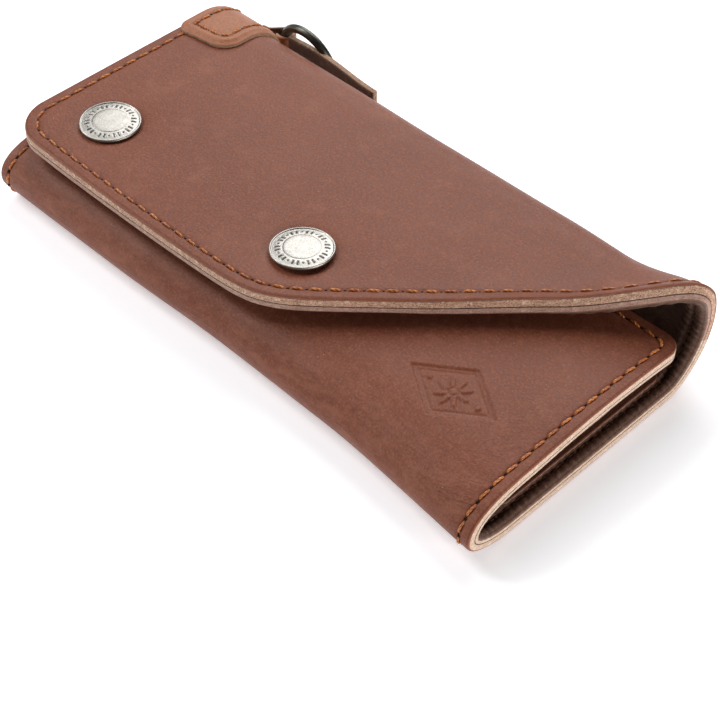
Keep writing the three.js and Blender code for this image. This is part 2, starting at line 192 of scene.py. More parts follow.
def flap_flare(x, y):
    """How much the flap lifts towards its unfastened diagonal edge."""
    lift = 0.6 * smooth_step(-15, 15, x) + 2.2 * smooth_step(38, 68, x)
    from_edge = np.maximum((y - flap_front_line(x)) / math.hypot(1, FLAP_CUT_SLOPE), -1.5)
    return lift * np.exp(-from_edge / 6.0)


def snap_sink(x, y):
    """The snaps hold the flap down, so that it dips gently round each of them."""
    return sum(0.8 * np.exp(-((x - cx) ** 2 + (y - cy) ** 2) / 13.0**2) for cx, cy in SNAP_CENTRES.values())


def spine_points(x, degrees):
    """The spine's arc; towards the right-hand end it is shallower and leans in at its foot."""
    angle = np.radians(degrees)
    height = np.sin(angle)
    depth = SPINE_DEPTH - 0.8 * smooth_step(45, 70, x) - 3.0 * smooth_step(84, HALF_LENGTH, x)
    lean = 7.5 * smooth_step(70, HALF_LENGTH, x) * ((1 - height) / 2) ** 2.5
    y = SPINE_Y + depth * np.cos(angle) - lean
    z = flap_top(x) / 2 * (1 + height) + flap_flare(x, y) * np.maximum(height, 0)
    return np.stack([y, z], 1)


def bezier(start, start_handle, end_handle, end, count):
    t = np.linspace(0, 1, count)[:, None]
    a, b, c, d = (np.array(point, float) for point in (start, start_handle, end_handle, end))
    return (1 - t) ** 3 * a + 3 * t * (1 - t) ** 2 * b + 3 * t**2 * (1 - t) * c + t**3 * d


def section(x):
    """The outer face at one x, as (y, z) points from past the leaf's edge to past the flap's front."""
    leaf_y = np.linspace(LEAF_EDGE_Y + 3, LEAF_FLAT_Y, 80)
    leaf = np.stack([leaf_y, leaf_top(x, leaf_y)], 1)
    fold_y = NEAR_FOLD_Y - NEAR_FOLD_DRIFT * smooth_step(40, 105, x) + 0.9 * hump(x, 0, 28)
    squareness = smooth_step(60, HALF_LENGTH, x)
    top = leaf[-1, 1]
    upper = bezier(
        (LEAF_FLAT_Y, top), (LEAF_FLAT_Y - 10 - 3 * squareness, top - 0.3),
        (fold_y, NEAR_FOLD_Z + 6.2 + 2.5 * squareness), (fold_y, NEAR_FOLD_Z), 40)
    lower = bezier(
        (fold_y, NEAR_FOLD_Z), (fold_y, NEAR_FOLD_Z - 5), (BACK_START_Y - 6, 0), (BACK_START_Y, 0), 40)
    spine = spine_points(x, np.linspace(-90, 90, 90))
    floor_y = np.linspace(BACK_START_Y, spine[0, 0], 80)
    floor = np.stack([floor_y, np.zeros(80)], 1)
    flap_y = np.linspace(SPINE_Y, FLAP_FRONT_Y - 8, 120)
    flap = np.stack([flap_y, flap_top(x) + flap_flare(x, flap_y) - snap_sink(x, flap_y)], 1)
    return np.concatenate([leaf[:-1], upper[:-1], lower[:-1], floor[:-1], spine[:-1], flap])


TABLE_STEP = 0.5
TABLE_X = np.arange(-99.0, 99.01, 1.0)
TABLE_S = np.arange(-205.0, 105.0, TABLE_STEP)
FLAP_Y = np.arange(-50.0, 48.0, TABLE_STEP)


def evened(points):
    """The points spread evenly along their line, with its corners eased."""
    length = run_lengths(points)
    even = np.arange(0, length[-1], TABLE_STEP)
    line = np.stack([np.interp(even, length, points[:, k]) for k in range(2)], 1)
    reach = 10
    weights = np.exp(-0.5 * (np.arange(-reach, reach + 1) / 4.0) ** 2)
    weights /= weights.sum()
    before = line[0] + np.arange(reach, 0, -1)[:, None] * (line[0] - line[1])
    after = line[-1] + np.arange(1, reach + 1)[:, None] * (line[-1] - line[-2])
    padded = np.concatenate([before, line, after])
    return np.stack([np.convolve(padded[:, k], weights, "valid") for k in range(2)], 1)


def section_tables():
    """The whole wrap as tables over x and s, with where the leaf, the back and the flap lie in s."""
    table_y, table_z, leaf_edge, back_end, flap_s = [], [], [], [], []
    for x in TABLE_X:
        line = evened(section(x))
        s = run_lengths(line)
        y, z = line[:, 0], line[:, 1]
        rises = np.nonzero((z[:-1] < MID_SPINE_Z) & (z[1:] >= MID_SPINE_Z))[0][-1]
        part = (MID_SPINE_Z - z[rises]) / (z[rises + 1] - z[rises])
        s = s - (s[rises] + part * (s[rises + 1] - s[rises]))
        table_y.append(np.interp(TABLE_S, s, y))
        table_z.append(np.interp(TABLE_S, s, z))
        nearest = int(np.argmin(y[: len(y) // 2]))
        furthest = nearest + int(np.argmax(y[nearest:]))
        leaf_edge.append(np.interp(-LEAF_EDGE_Y, -y[:nearest], s[:nearest]))
        back_end.append(np.interp(BACK_END_Y, y[nearest:furthest], s[nearest:furthest]))
        flap_s.append(np.interp(-FLAP_Y, -y[furthest:], s[furthest:]))
    return tuple(np.array(table) for table in (table_y, table_z, leaf_edge, back_end, flap_s))


WRAP_Y, WRAP_Z, LEAF_EDGE_S, BACK_END_S, FLAP_S = section_tables()


def look_up(table, a_axis, b_axis, a, b):
    """The table's value between its rows and columns."""
    a = np.clip(a, a_axis[0], a_axis[-1] - 1e-6)
    b = np.clip(b, b_axis[0], b_axis[-1] - 1e-6)
    ia = np.floor((a - a_axis[0]) / (a_axis[1] - a_axis[0])).astype(int)
    ib = np.floor((b - b_axis[0]) / (b_axis[1] - b_axis[0])).astype(int)
    fa = (a - a_axis[ia]) / (a_axis[1] - a_axis[0])
    fb = (b - b_axis[ib]) / (b_axis[1] - b_axis[0])
    low = table[ia, ib] * (1 - fb) + table[ia, ib + 1] * fb
    high = table[ia + 1, ib] * (1 - fb) + table[ia + 1, ib + 1] * fb
    return low * (1 - fa) + high * fa


def wrap_points(x, s):
    y = look_up(WRAP_Y, TABLE_X, TABLE_S, x, s)
    z = look_up(WRAP_Z, TABLE_X, TABLE_S, x, s)
    return np.stack([x, y, z], -1)


def wrap_surface(x, s):
    """Points of the outer face and the directions square to it, towards the inside."""
    x, s = np.broadcast_arrays(np.asarray(x, float), np.asarray(s, float))
    along_x = wrap_points(x + 1.0, s) - wrap_points(x - 1.0, s)
    along_s = wrap_points(x, s + TABLE_STEP) - wrap_points(x, s - TABLE_STEP)
    return wrap_points(x, s), normalised(np.cross(along_x, along_s))


def flap_s_at(x, y):
    return look_up(FLAP_S, TABLE_X, FLAP_Y, x, y)


def leaf_s_at(x, y):
    return np.interp(x, TABLE_X, LEAF_EDGE_S) + (LEAF_EDGE_Y - y)


def flap_front_y(x):
    """The flap's front with its rounded left corner."""
    return flap_front_line(x) + rounding(x + HALF_LENGTH, FLAP_CORNER_RADIUS)


def flap_front_s(x):
    return flap_s_at(x, flap_front_y(x)) - rounding(HALF_LENGTH - x, TIP_RADIUS)


def leaf_edge_s(x):
    corner = rounding(HALF_LENGTH - np.abs(x), LEAF_CORNER_RADIUS)
    return np.interp(x, TABLE_X, LEAF_EDGE_S) + corner


def back_end_s(x):
    return np.interp(x, TABLE_X, BACK_END_S)


# ---------------------------------------------------------------- outlines and distances

END_CREEP = np.array([0, 0.02, 0.1, 0.25, 0.5, 0.8, 1.2, 1.7, 2.3, 3.0, 3.8, 4.7, 5.8, 7.0, 8.5, 10.0])


def fine_x():
    """Values of x that follow the rounded corners at both ends closely."""
    middle = np.linspace(-HALF_LENGTH + 11, HALF_LENGTH - 11, 160)
    return np.concatenate([-HALF_LENGTH + END_CREEP, middle, HALF_LENGTH - END_CREEP[::-1]])


def strip_border(x, edge_s, start_s, count):
    """The border of a strip whose one end is edge_s(x), from its left side round to its right side."""
    left = np.linspace(start_s(x[0]), edge_s(x[0]), count)[:-1]
    right = np.linspace(edge_s(x[-1]), start_s(x[-1]), count)[1:]
    across = np.concatenate([np.full(count - 1, x[0]), x, np.full(count - 1, x[-1])])
    return np.stack([across, np.concatenate([left, edge_s(x), right])], 1)


def outline(edge_s, start_s):
    return strip_border(fine_x(), edge_s, start_s, 60)


def distance_to(line, x, s):
    """Distance from each (x, s) to a line of points."""
    start, step = line[:-1], np.diff(line, axis=0)
    size = np.maximum((step**2).sum(1), 1e-12)
    places = np.stack([np.ravel(x), np.ravel(s)], 1)
    found = np.empty(len(places))
    for first in range(0, len(places), 4000):
        offset = places[first:first + 4000, None, :] - start[None]
        part = np.clip((offset * step[None]).sum(2) / size, 0, 1)
        gap = offset - part[..., None] * step[None]
        found[first:first + 4000] = np.sqrt((gap**2).sum(2)).min(1)
    return found.reshape(np.shape(x))


def inset_line(line, distance):
    """The line moved to its right by a distance, without the points that crowd at tight corners."""
    ahead = normalised(np.gradient(line, axis=0))
    moved = line + distance * np.stack([ahead[:, 1], -ahead[:, 0]], 1)
    return moved[distance_to(line, moved[:, 0], moved[:, 1]) > distance - 0.06]


def spaced(start, end, count, near_start, near_end):
    """Rows from start to end: fixed small steps at each end and even steps between."""
    start, end = np.atleast_1d(start)[:, None], np.atleast_1d(end)[:, None]
    sign = np.sign(end - start)
    first = start + sign * np.asarray(near_start)
    last = end - sign * np.asarray(near_end)[::-1]
    share = np.linspace(0, 1, count + 2)[1:-1]
    middle = first[:, -1:] + (last[:, :1] - first[:, -1:]) * share
    return np.concatenate([first, middle, last], 1)


# Distances of the first rows from a cut edge, closest where the crease and the seam's groove are.
RIM = [
    0, 0.06, 0.16, 0.3, 0.5, 0.85, 1.15, 1.35, 1.5, 1.65, 1.9, 2.3, 2.7, 3.0, 3.25, 3.45, 3.6, 3.75, 3.95,
    4.25, 4.6, 5.2, 6.0]
COARSE_RIM = [0, 0.1, 0.25, 0.5, 0.9, 1.5, 2.2, 2.8, 3.3, 3.6, 3.9, 4.4, 5.2, 6.0]
JOIN = [0, 0.06]


# ---------------------------------------------------------------- meshes

def link_object(name, mesh):
    made = bpy.data.objects.new(name, mesh)
    bpy.context.scene.collection.objects.link(made)
    return made


def mesh_object(name, vertices, faces, materials, slots=None, uvs=None, attributes=None):
    """An object from millimetre vertices, with UVs in millimetres for each face corner."""
    mesh = bpy.data.meshes.new(name)
    mesh.from_pydata((np.asarray(vertices) * MM).tolist(), [], [list(map(int, face)) for face in faces])
    for material in materials:
        mesh.materials.append(material)
    if slots is not None:
        mesh.polygons.foreach_set("material_index", np.asarray(slots, np.int32))
    if uvs is not None:
        layer = mesh.uv_layers.new(name="flat")
        layer.data.foreach_set("uv", np.asarray(uvs, np.float32).ravel())
    for key, values in (attributes or {}).items():
        attribute = mesh.attributes.new(key, "FLOAT", "POINT")
        attribute.data.foreach_set("value", np.asarray(values, np.float32))
    mesh.polygons.foreach_set("use_smooth", np.ones(len(mesh.polygons), bool))
    mesh.update()
    return link_object(name, mesh)


def capped_rings(ids):
    """The faces between rings of points, and one over each end."""
    after = np.roll(ids, -1, 1)
    walls = np.stack([ids[:-1], after[:-1], after[1:], ids[1:]], -1).reshape(-1, 4)
    return [tuple(face) for face in walls] + [tuple(ids[0][::-1]), tuple(ids[-1])]


# Each kind of piece is cut from its own stretch of the hide, so that no two show the same mottling.
STRAP_HIDE, BAND_HIDE, POCKET_HIDE, PANEL_HIDE = 300, 500, 700, 900
WALL_LEVELS = (0, 0.2, 0.4, 0.6, 0.8, 1)
WALL_BEND = 0.3


def sheet_object(name, base, inward, flat, top, bottom, materials, open_sides, rim, bend=None, fray=0.05):
    """A closed sheet of leather over a grid of points.

    base and inward are (n, m, 3), flat is (n, m, 2) with each point's place on the flat hide, top and
    bottom are depths under the base. Sides named in open_sides have no wall, where pieces join.
    """
    n, m = base.shape[:2]
    outer = (base + inward * top[..., None]).reshape(-1, 3)
    inner = (base + inward * bottom[..., None]).reshape(-1, 3)
    ids = np.arange(n * m).reshape(n, m)
    corners = np.stack([ids[:-1, :-1], ids[:-1, 1:], ids[1:, 1:], ids[1:, :-1]], -1).reshape(-1, 4)
    flat_points = flat.reshape(-1, 2)
    faces = [corners, corners[:, ::-1] + n * m]
    slots = [np.zeros(len(corners)), np.full(len(corners), 2)]
    uvs = [flat_points[corners], flat_points[corners[:, ::-1]]]

    sides = {
        "start": (ids[:, 0], ids[:, 1], 1), "end": (ids[:, -1], ids[:, -2], -1),
        "left": (ids[0, :], ids[1, :], -1), "right": (ids[-1, :], ids[-2, :], 1),
    }
    wall_ids, wall_points = {}, []
    for side, (border, neighbour, turn) in sides.items():
        if side in open_sides:
            continue
        along = run_lengths(outer[border])
        outward = normalised(outer[border] - outer[neighbour])
        window = np.minimum(smooth_step(0, 1.0, along), smooth_step(0, 1.0, along[-1] - along))
        depth = np.linalg.norm(inner[border] - outer[border], axis=1)
        rings = [border]
        for level in WALL_LEVELS[1:-1]:
            rough = (np.sin(along * 9.1 + level * 7) + np.sin(along * 23.7 + level * 31)
                     + 0.8 * np.sin(along * 3.3))
            swell = 0.1 * math.sin(math.pi * level) + fray * rough
            place = outer[border] * (1 - level) + inner[border] * level
            place = place + outward * (swell * window)[:, None]
            for point, owner in zip(place, border):
                if (owner, level) not in wall_ids:
                    wall_ids[owner, level] = 2 * n * m + len(wall_points)
                    wall_points.append(point)
            rings.append(np.array([wall_ids[owner, level] for owner in border]))
        rings.append(border + n * m)
        places = [np.stack([along, level * depth], 1) for level in WALL_LEVELS]
        for near, far, near_uv, far_uv in zip(rings, rings[1:], places, places[1:]):
            quads = np.stack([near[:-1], near[1:], far[1:], far[:-1]], 1)
            quad_uv = np.stack([near_uv[:-1], near_uv[1:], far_uv[1:], far_uv[:-1]], 1)
            faces.append(quads[:, ::turn])
            uvs.append(quad_uv[:, ::turn])
            slots.append(np.ones(len(quads)))
    bend = np.zeros((n, m)) if bend is None else bend
    attributes = {
        key: np.concatenate([grid.ravel(), grid.ravel(), np.full(len(wall_points), wall_value)])
        for key, grid, wall_value in (("rim", rim, 0.0), ("bend", bend, WALL_BEND))
    }
    return mesh_object(
        name, np.concatenate([outer, inner, np.array(wall_points)]), np.concatenate(faces), materials,
        np.concatenate(slots), np.concatenate(uvs).reshape(-1, 2), attributes)


def attach(piece, motion, slot, *replaced):
    """Make a piece ride on a body, or for a bend between two bodies just bake its place into its mesh, and
    stand for the CAD nodes it replaces.
    """
    if isinstance(motion, str):
        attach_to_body(piece, motion)
    else:
        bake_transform(piece)
    if replaced:
        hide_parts(*replaced)


# ---------------------------------------------------------------- material building blocks

def add_node(tree, kind, inputs=None, **settings):
    """A node with its settings and inputs; an input is a plain value or another node's output."""
    made = tree.nodes.new(kind)
    for key, value in settings.items():
        setattr(made, key, value)
    for key, value in (inputs or {}).items():
        socket = made.inputs[key]
        if isinstance(value, bpy.types.NodeSocket):
            tree.links.new(value, socket)
        else:
            socket.default_value = (*value, 1.0) if socket.type == "RGBA" else value
    return made


class Look:
    """A Principled material with shorthand for the procedural patterns that drive it."""

    def __init__(self, name, roughness=0.5, metallic=0.0, specular=0.5):
        self.material = bpy.data.materials.new(name)
        self.material.use_nodes = True
        self.tree = self.material.node_tree
        self.shader = self.tree.nodes["Principled BSDF"]
        self.shader.inputs["Roughness"].default_value = roughness
        self.shader.inputs["Metallic"].default_value = metallic
        self.shader.inputs["Specular IOR Level"].default_value = specular

    def flat(self, stretch=(1, 1)):
        """The place on the flat hide, in millimetres."""
        uv = add_node(self.tree, "ShaderNodeUVMap", uv_map="flat")
        scale = (stretch[0], stretch[1], 1)
        return add_node(self.tree, "ShaderNodeMapping", {"Vector": uv.outputs[0], "Scale": scale}).outputs[0]

    def solid(self, scale=1000.0):
        """The place in the object, in millimetres."""
        place = add_node(self.tree, "ShaderNodeTexCoord").outputs["Object"]
        return add_node(self.tree, "ShaderNodeMapping", {"Vector": place, "Scale": (scale,) * 3}).outputs[0]

    def noise(self, place, size, detail=3.0, roughness=0.55, distortion=0.0):
        """A cloudy pattern with clouds about size millimetres across."""
        inputs = {
            "Vector": place, "Scale": 1.0 / size, "Detail": detail,
            "Roughness": roughness, "Distortion": distortion,
        }
        return add_node(self.tree, "ShaderNodeTexNoise", inputs).outputs[0]

    def cells(self, place, size, feature="F1"):
        inputs = {"Vector": place, "Scale": 1.0 / size}
        return add_node(self.tree, "ShaderNodeTexVoronoi", inputs, feature=feature).outputs["Distance"]

    def attribute(self, name):
        return add_node(self.tree, "ShaderNodeAttribute", attribute_name=name).outputs["Fac"]

    def levels(self, value, low, high, to_low=0.0, to_high=1.0):
        inputs = {"Value": value, "From Min": low, "From Max": high, "To Min": to_low, "To Max": to_high}
        return add_node(self.tree, "ShaderNodeMapRange", inputs, interpolation_type="SMOOTHSTEP").outputs[0]

    def maths(self, operation, first, second=0.0):
        return add_node(self.tree, "ShaderNodeMath", {0: first, 1: second}, operation=operation).outputs[0]

    def mixed(self, factor, first, second):
        inputs = {0: factor, 6: first, 7: second}
        return add_node(self.tree, "ShaderNodeMix", inputs, data_type="RGBA").outputs[2]

    def bump(self, height, distance, under=None):
        inputs = {"Height": height, "Distance": distance * MM, "Strength": 1.0}
        if under is not None:
            inputs["Normal"] = under
        return add_node(self.tree, "ShaderNodeBump", inputs).outputs[0]

    def use(self, **sockets):
        for key, value in sockets.items():
            self.tree.links.new(value, self.shader.inputs[key.replace("_", " ")])
        return self.material


# ---------------------------------------------------------------- materials

def finished_leather(name, base, light, dark, shine=0.45):
    """Waxed full-grain leather: mottled, fine grain, with a painted highlight on each rim, darker at the
    pressed line beside it and at seams (there partly painted shade), paler where it bends.
    """
    look = Look(name, roughness=shine, specular=0.17)
    place = look.flat()
    clouds = look.noise(place, 45.0, detail=3.0)
    patches = look.noise(place, 9.0, detail=5.0, roughness=0.6)
    mottle = look.noise(place, 2.2, detail=5.0, roughness=0.7)
    specks = look.noise(place, 0.7, detail=4.0, roughness=0.75)
    tone = base
    for pattern, low, high, at_low, at_high, shade in (
            (clouds, 0.3, 0.7, 0.35, 0.0, dark), (patches, 0.5, 0.8, 0.0, 0.4, light),
            (mottle, 0.5, 0.7, 0.0, 0.42, light), (mottle, 0.3, 0.5, 0.42, 0.0, dark),
            (specks, 0.52, 0.66, 0.0, 0.6, light), (specks, 0.34, 0.48, 0.6, 0.0, dark)):
        tone = look.mixed(look.levels(pattern, low, high, at_low, at_high), tone, shade)
    pulled = look.noise(look.flat((0.4, 1.0)), 5.0, detail=5.0, roughness=0.6, distortion=0.8)
    worn = look.maths("MULTIPLY", look.attribute("bend"), look.levels(pulled, 0.42, 0.72))
    tone = look.mixed(look.maths("MULTIPLY", worn, 0.5), tone, light)
    rim = look.attribute("rim")
    # Painted highlight: within half a millimetre of a cut edge the tone is lightened, as on a rounded rim
    # that catches the light.
    tone = look.mixed(look.levels(rim, 0.0, 0.5, 0.35, 0.0), tone, light)
    # The pressed line beside each edge is darkened like a burnished crease; the seam's groove is darkened
    # partly as dye and partly as painted shade.
    for inset, width, strength in ((CREASE_INSET, 0.3, 0.5), (SEAM_INSET, 0.75, 0.75)):
        away = look.maths("ABSOLUTE", look.maths("SUBTRACT", rim, inset))
        tone = look.mixed(look.levels(away, 0.2 * width, width, strength, 0.0), tone, dark)
    dust = look.levels(look.cells(place, 6.0), 0.0, 0.04, 0.7, 0.0)
    tone = look.mixed(dust, tone, (0.62, 0.42, 0.3))
    scratches = look.noise(look.flat((1.6, 0.09)), 1.3, detail=2.0, distortion=0.35)
    scuffed = look.maths("MULTIPLY", look.levels(scratches, 0.70, 0.76), look.levels(patches, 0.45, 0.6))
    tone = look.mixed(look.maths("MULTIPLY", scuffed, 0.5), tone, light)
    gloss = look.levels(mottle, 0.3, 0.75, shine - 0.05, shine + 0.1)
    pebbles = look.cells(place, 0.5, feature="SMOOTH_F1")
    normal = look.bump(pebbles, 0.045)
    normal = look.bump(specks, 0.05, under=normal)
    creases = look.noise(look.flat((0.22, 1.0)), 2.4, detail=5.0, roughness=0.6, distortion=0.8)
    depth = look.maths("MULTIPLY", look.attribute("bend"), creases)
    normal = look.bump(depth, 0.45, under=normal)
    normal = look.bump(patches, 0.2, under=normal)
    return look.use(Base_Color=tone, Roughness=gloss, Normal=normal)


def raw_edge(name, fibre, dark, pale, burnish=None, burnish_depth=0.0, roughness=0.8):
    """The cut side of a hide: matt and fibrous, sometimes with a band under the face rubbed smooth."""
    look = Look(name, roughness=roughness, specular=0.3)
    place = look.flat()
    fibres = look.noise(look.flat((1.0, 1.6)), 0.55, detail=5.0, roughness=0.75, distortion=0.4)
    clumps = look.noise(place, 1.5, detail=4.0, roughness=0.7)
    layers = look.noise(look.flat((0.12, 1.0)), 0.7, detail=3.0)
    tone = look.mixed(look.levels(fibres, 0.37, 0.56), dark, fibre)
    tone = look.mixed(look.levels(clumps, 0.5, 0.7, 0.0, 0.75), tone, pale)
    tone = look.mixed(look.levels(layers, 0.3, 0.48, 0.5, 0.0), tone, dark)
    height = look.maths("ADD", fibres, clumps)
    if burnish is not None:
        depth = add_node(look.tree, "ShaderNodeSeparateXYZ", {"Vector": place}).outputs["Y"]
        wavering = look.maths("ADD", depth, look.maths("MULTIPLY", clumps, 0.7))
        rubbed = look.levels(wavering, burnish_depth + 0.25, burnish_depth + 0.6, 1.0, 0.0)
        tone = look.mixed(rubbed, tone, burnish)
        height = look.maths("MULTIPLY", height, look.maths("SUBTRACT", 1.0, rubbed))
    normal = look.bump(height, 0.3)
    return look.use(Base_Color=tone, Normal=normal)


def sewing_thread(name, bright, deep, shadow):
    """Twisted thread, dirtier along some stretches than others."""
    look = Look(name, roughness=0.5)
    strands = add_node(look.tree, "ShaderNodeTexWave", {
        "Vector": look.flat((1.0, 1.0)), "Scale": 0.5, "Distortion": 0.5, "Detail": 2.0,
    }, bands_direction="DIAGONAL").outputs[1]
    shade = look.noise(look.solid(), 5.0, detail=4.0)
    tone = look.mixed(look.levels(shade, 0.35, 0.65), deep, bright)
    tone = look.mixed(look.levels(strands, 0.0, 0.45, 0.6, 0.0), tone, shadow)
    return look.use(Base_Color=tone, Normal=look.bump(strands, 0.15))


# Painted shade: a near-black cone that stands for the shade inside a pricked stitch hole.
def painted_hole_shade():
    look = Look("painted_hole_shade", roughness=0.9, specular=0.1)
    shade = look.noise(look.solid(), 0.4)
    tone = look.mixed(shade, (0.008, 0.004, 0.003), (0.03, 0.013, 0.008))
    return look.use(Base_Color=tone)


def plated_metal(name, bright, dull, roughness):
    """Plated metal with a patina that gathers in its recesses, painted shade on undersides where marked, and
    fine handling scratches.
    """
    look = Look(name, roughness=roughness, metallic=1.0)
    place = look.solid()
    patina = look.noise(place, 3.0, detail=5.0, roughness=0.65)
    scratches = look.noise(look.solid(700.0), 0.35, detail=6.0, roughness=0.75, distortion=1.0)
    patina_and_shade = look.attribute("patina_and_shade")
    tone = look.mixed(look.levels(patina, 0.38, 0.7, 0.0, 0.5), bright, dull)
    # Dark patina in recesses, and painted shade where the attribute marks an underside.
    tone = look.mixed(patina_and_shade, tone, (0.02, 0.018, 0.015))
    gloss = look.levels(scratches, 0.3, 0.75, roughness - 0.08, roughness + 0.16)
    normal = look.bump(scratches, 0.02)
    return look.use(Base_Color=tone, Roughness=gloss, Normal=normal)


def woven_tape():
    look = Look("woven_tape", roughness=0.9, specular=0.2)
    weave = look.maths("MULTIPLY", *(
        add_node(look.tree, "ShaderNodeTexWave", {"Vector": look.flat(), "Scale": 0.32}, bands_direction=way)
        .outputs[1] for way in "XY"))
    tone = look.mixed(weave, (0.012, 0.008, 0.006), (0.06, 0.036, 0.026))
    return look.use(Base_Color=tone, Normal=look.bump(weave, 0.12))


def coil_nylon():
    look = Look("coil_nylon", roughness=0.4)
    shade = look.noise(look.solid(), 1.5)
    tone = look.mixed(shade, (0.018, 0.011, 0.008), (0.05, 0.03, 0.022))
    return look.use(Base_Color=tone, Normal=look.bump(shade, 0.03))


OUTER_LEATHER = finished_leather(
    "outer_leather", (0.222, 0.070, 0.037), (0.34, 0.135, 0.082), (0.128, 0.036, 0.019))
STRAP_LEATHER = finished_leather(
    "strap_leather", (0.39, 0.160, 0.085), (0.52, 0.25, 0.15), (0.26, 0.095, 0.05))
LINING_LEATHER = finished_leather(
    "lining_leather", (0.17, 0.098, 0.072), (0.30, 0.19, 0.145), (0.07, 0.036, 0.024),
    shine=0.33)
POCKET_LEATHER = finished_leather(
    "pocket_leather", (0.15, 0.058, 0.037), (0.23, 0.1, 0.065), (0.085, 0.032, 0.021),
    shine=0.5)
FLAP_EDGE = raw_edge(
    "flap_edge", (0.66, 0.43, 0.30), (0.21, 0.105, 0.065), (0.95, 0.72, 0.56),
    burnish=(0.30, 0.14, 0.10), burnish_depth=0.15)
FLAP_LINING_EDGE = raw_edge(
    "flap_lining_edge", (0.50, 0.32, 0.25), (0.27, 0.15, 0.11), (0.66, 0.46, 0.37),
    roughness=0.65)
PALE_EDGE = raw_edge(
    "pale_edge", (0.74, 0.58, 0.45), (0.46, 0.31, 0.22), (0.88, 0.77, 0.65))
TAN_EDGE = raw_edge("tan_edge", (0.45, 0.30, 0.20), (0.22, 0.125, 0.08), (0.66, 0.5, 0.36))
# The flesh side is darker than bare flesh, as painted shade: it is the spine tab's face that shows in the
# narrow gap by the spine.
FLESH_SIDE_WITH_SHADE = raw_edge("flesh_side_with_painted_shade", (0.17, 0.09, 0.06), (0.08, 0.04, 0.025), (0.24, 0.15, 0.1))
THREAD = sewing_thread(
    "waxed_thread", (0.68, 0.24, 0.06), (0.42, 0.12, 0.028), (0.14, 0.04, 0.01))
LINING_THREAD = sewing_thread(
    "lining_thread", (0.22, 0.08, 0.03), (0.12, 0.045, 0.02), (0.04, 0.015, 0.008))
# Painted shade for the stitch holes.
HOLE_SHADE = painted_hole_shade()
NICKEL = plated_metal("antique_nickel", (0.40, 0.385, 0.355), (0.28, 0.266, 0.24), 0.42)
GUNMETAL = plated_metal("gunmetal", (0.10, 0.098, 0.082), (0.03, 0.03, 0.025), 0.36)
BRASS = plated_metal("antique_brass", (0.56, 0.39, 0.17), (0.25, 0.16, 0.07), 0.34)
TAPE = woven_tape()
COIL = coil_nylon()

OUTER_LOOKS = [OUTER_LEATHER, PALE_EDGE, FLESH_SIDE_WITH_SHADE]
LINING_LOOKS = [FLESH_SIDE_WITH_SHADE, PALE_EDGE, LINING_LEATHER]
FLAP_OUTER_LOOKS = [OUTER_LEATHER, FLAP_EDGE, FLESH_SIDE_WITH_SHADE]
FLAP_LINING_LOOKS = [FLESH_SIDE_WITH_SHADE, FLAP_LINING_EDGE, LINING_LEATHER]
STRAP_LOOKS = [STRAP_LEATHER, TAN_EDGE, FLESH_SIDE_WITH_SHADE]


# ---------------------------------------------------------------- relief of the leather

def motif_depth(x, y):
    """A pressed medallion: a lozenge sunk into the leather, with an eight-petalled rosette left standing."""
    u, v = x - MOTIF_CENTRE[0], y - MOTIF_CENTRE[1]
    half_u, half_v = MOTIF_HALF_SIZE
    lean = half_u * half_v / math.hypot(half_u, half_v)
    inside = (1 - np.abs(u) / half_u - np.abs(v) / half_v) * lean
    radius = np.hypot(u, v)
    petals = 3.5 + 1.7 * np.cos(8 * np.arctan2(v, u))
    sunk = smooth_step(-0.25, 0.25, inside)
    border_line = hump(inside, 1.5, 0.3)
    rosette = smooth_step(-0.25, 0.25, (petals - radius) * 0.7)
    heart = hump(radius, 1.3, 0.28)
    beads = smooth_step(-0.2, 0.2, 0.9 - np.hypot(np.abs(u) - 8.4, v))
    standing = np.maximum(rosette, beads)
    return 0.45 * sunk + 0.22 * border_line * sunk - 0.38 * standing + 0.3 * heart


def snap_dimples(x, y):
    """The leather is pressed down hard right under each snap cap."""
    dip = np.zeros(np.shape(x))
    for cx, cy in SNAP_CENTRES.values():
        radius = np.hypot(x - cx, y - cy)
        dip = dip + 0.3 * (1 - smooth_step(CAP_RADIUS - 1, CAP_RADIUS + 2, radius))
    return dip


def outer_relief(x, s, y, rim):
    """Depth of the finished face under the even wrap."""
    uneven = 0.22 * ripple(x, s) * smooth_step(0, 14, rim)
    edge = rounding(rim, 0.6) + 0.06 * hump(rim, CREASE_INSET, 0.2)
    groove = 0.3 * hump(rim, SEAM_INSET, 0.5)
    relief = uneven + edge + groove
    relief = relief + np.where(s > ON_FLAP_S, snap_dimples(x, y), 0)
    on_leaf = (s < ON_LEAF_S) & (y > NEAR_FOLD_Y + 6)
    return relief + np.where(on_leaf, motif_depth(x, y), 0)


def lining_relief(s, rim):
    """How the lining's face is drawn in at the seam: it gathers into plump puckers, less so on the flap."""
    pucker = 0.5 + 0.5 * np.cos(4 * np.pi * s / STITCH_PITCH + 0.9 * np.sin(s / 7.0) + 0.5 * np.sin(s / 2.3))
    calm = 1 - 0.75 * smooth_step(34, 50, s)
    plump = 0.9 * calm * smooth_step(0.2, 1.3, rim) * (1 - smooth_step(4.5, 9.0, rim))
    valleys = (0.55 * hump(rim, 2.2, 1.6) + 0.35 * hump(rim, 5.2, 1.3)) * pucker * calm
    at_seam = 0.85 * hump(rim, SEAM_INSET, 0.6)
    return rounding(rim, 0.5) - plump + valleys + at_seam


def fold_wear(s, y):
    """Where the leather is bent most: the near fold and, less, the spine."""
    near_fold = hump(y, NEAR_FOLD_Y - 0.5, 9.0) * (s < ON_NEAR_FOLD_S)
    spine = 0.45 * hump(s, 6, 16)
    return np.clip(near_fold + spine, 0, 1)


# ---------------------------------------------------------------- outer leather and lining

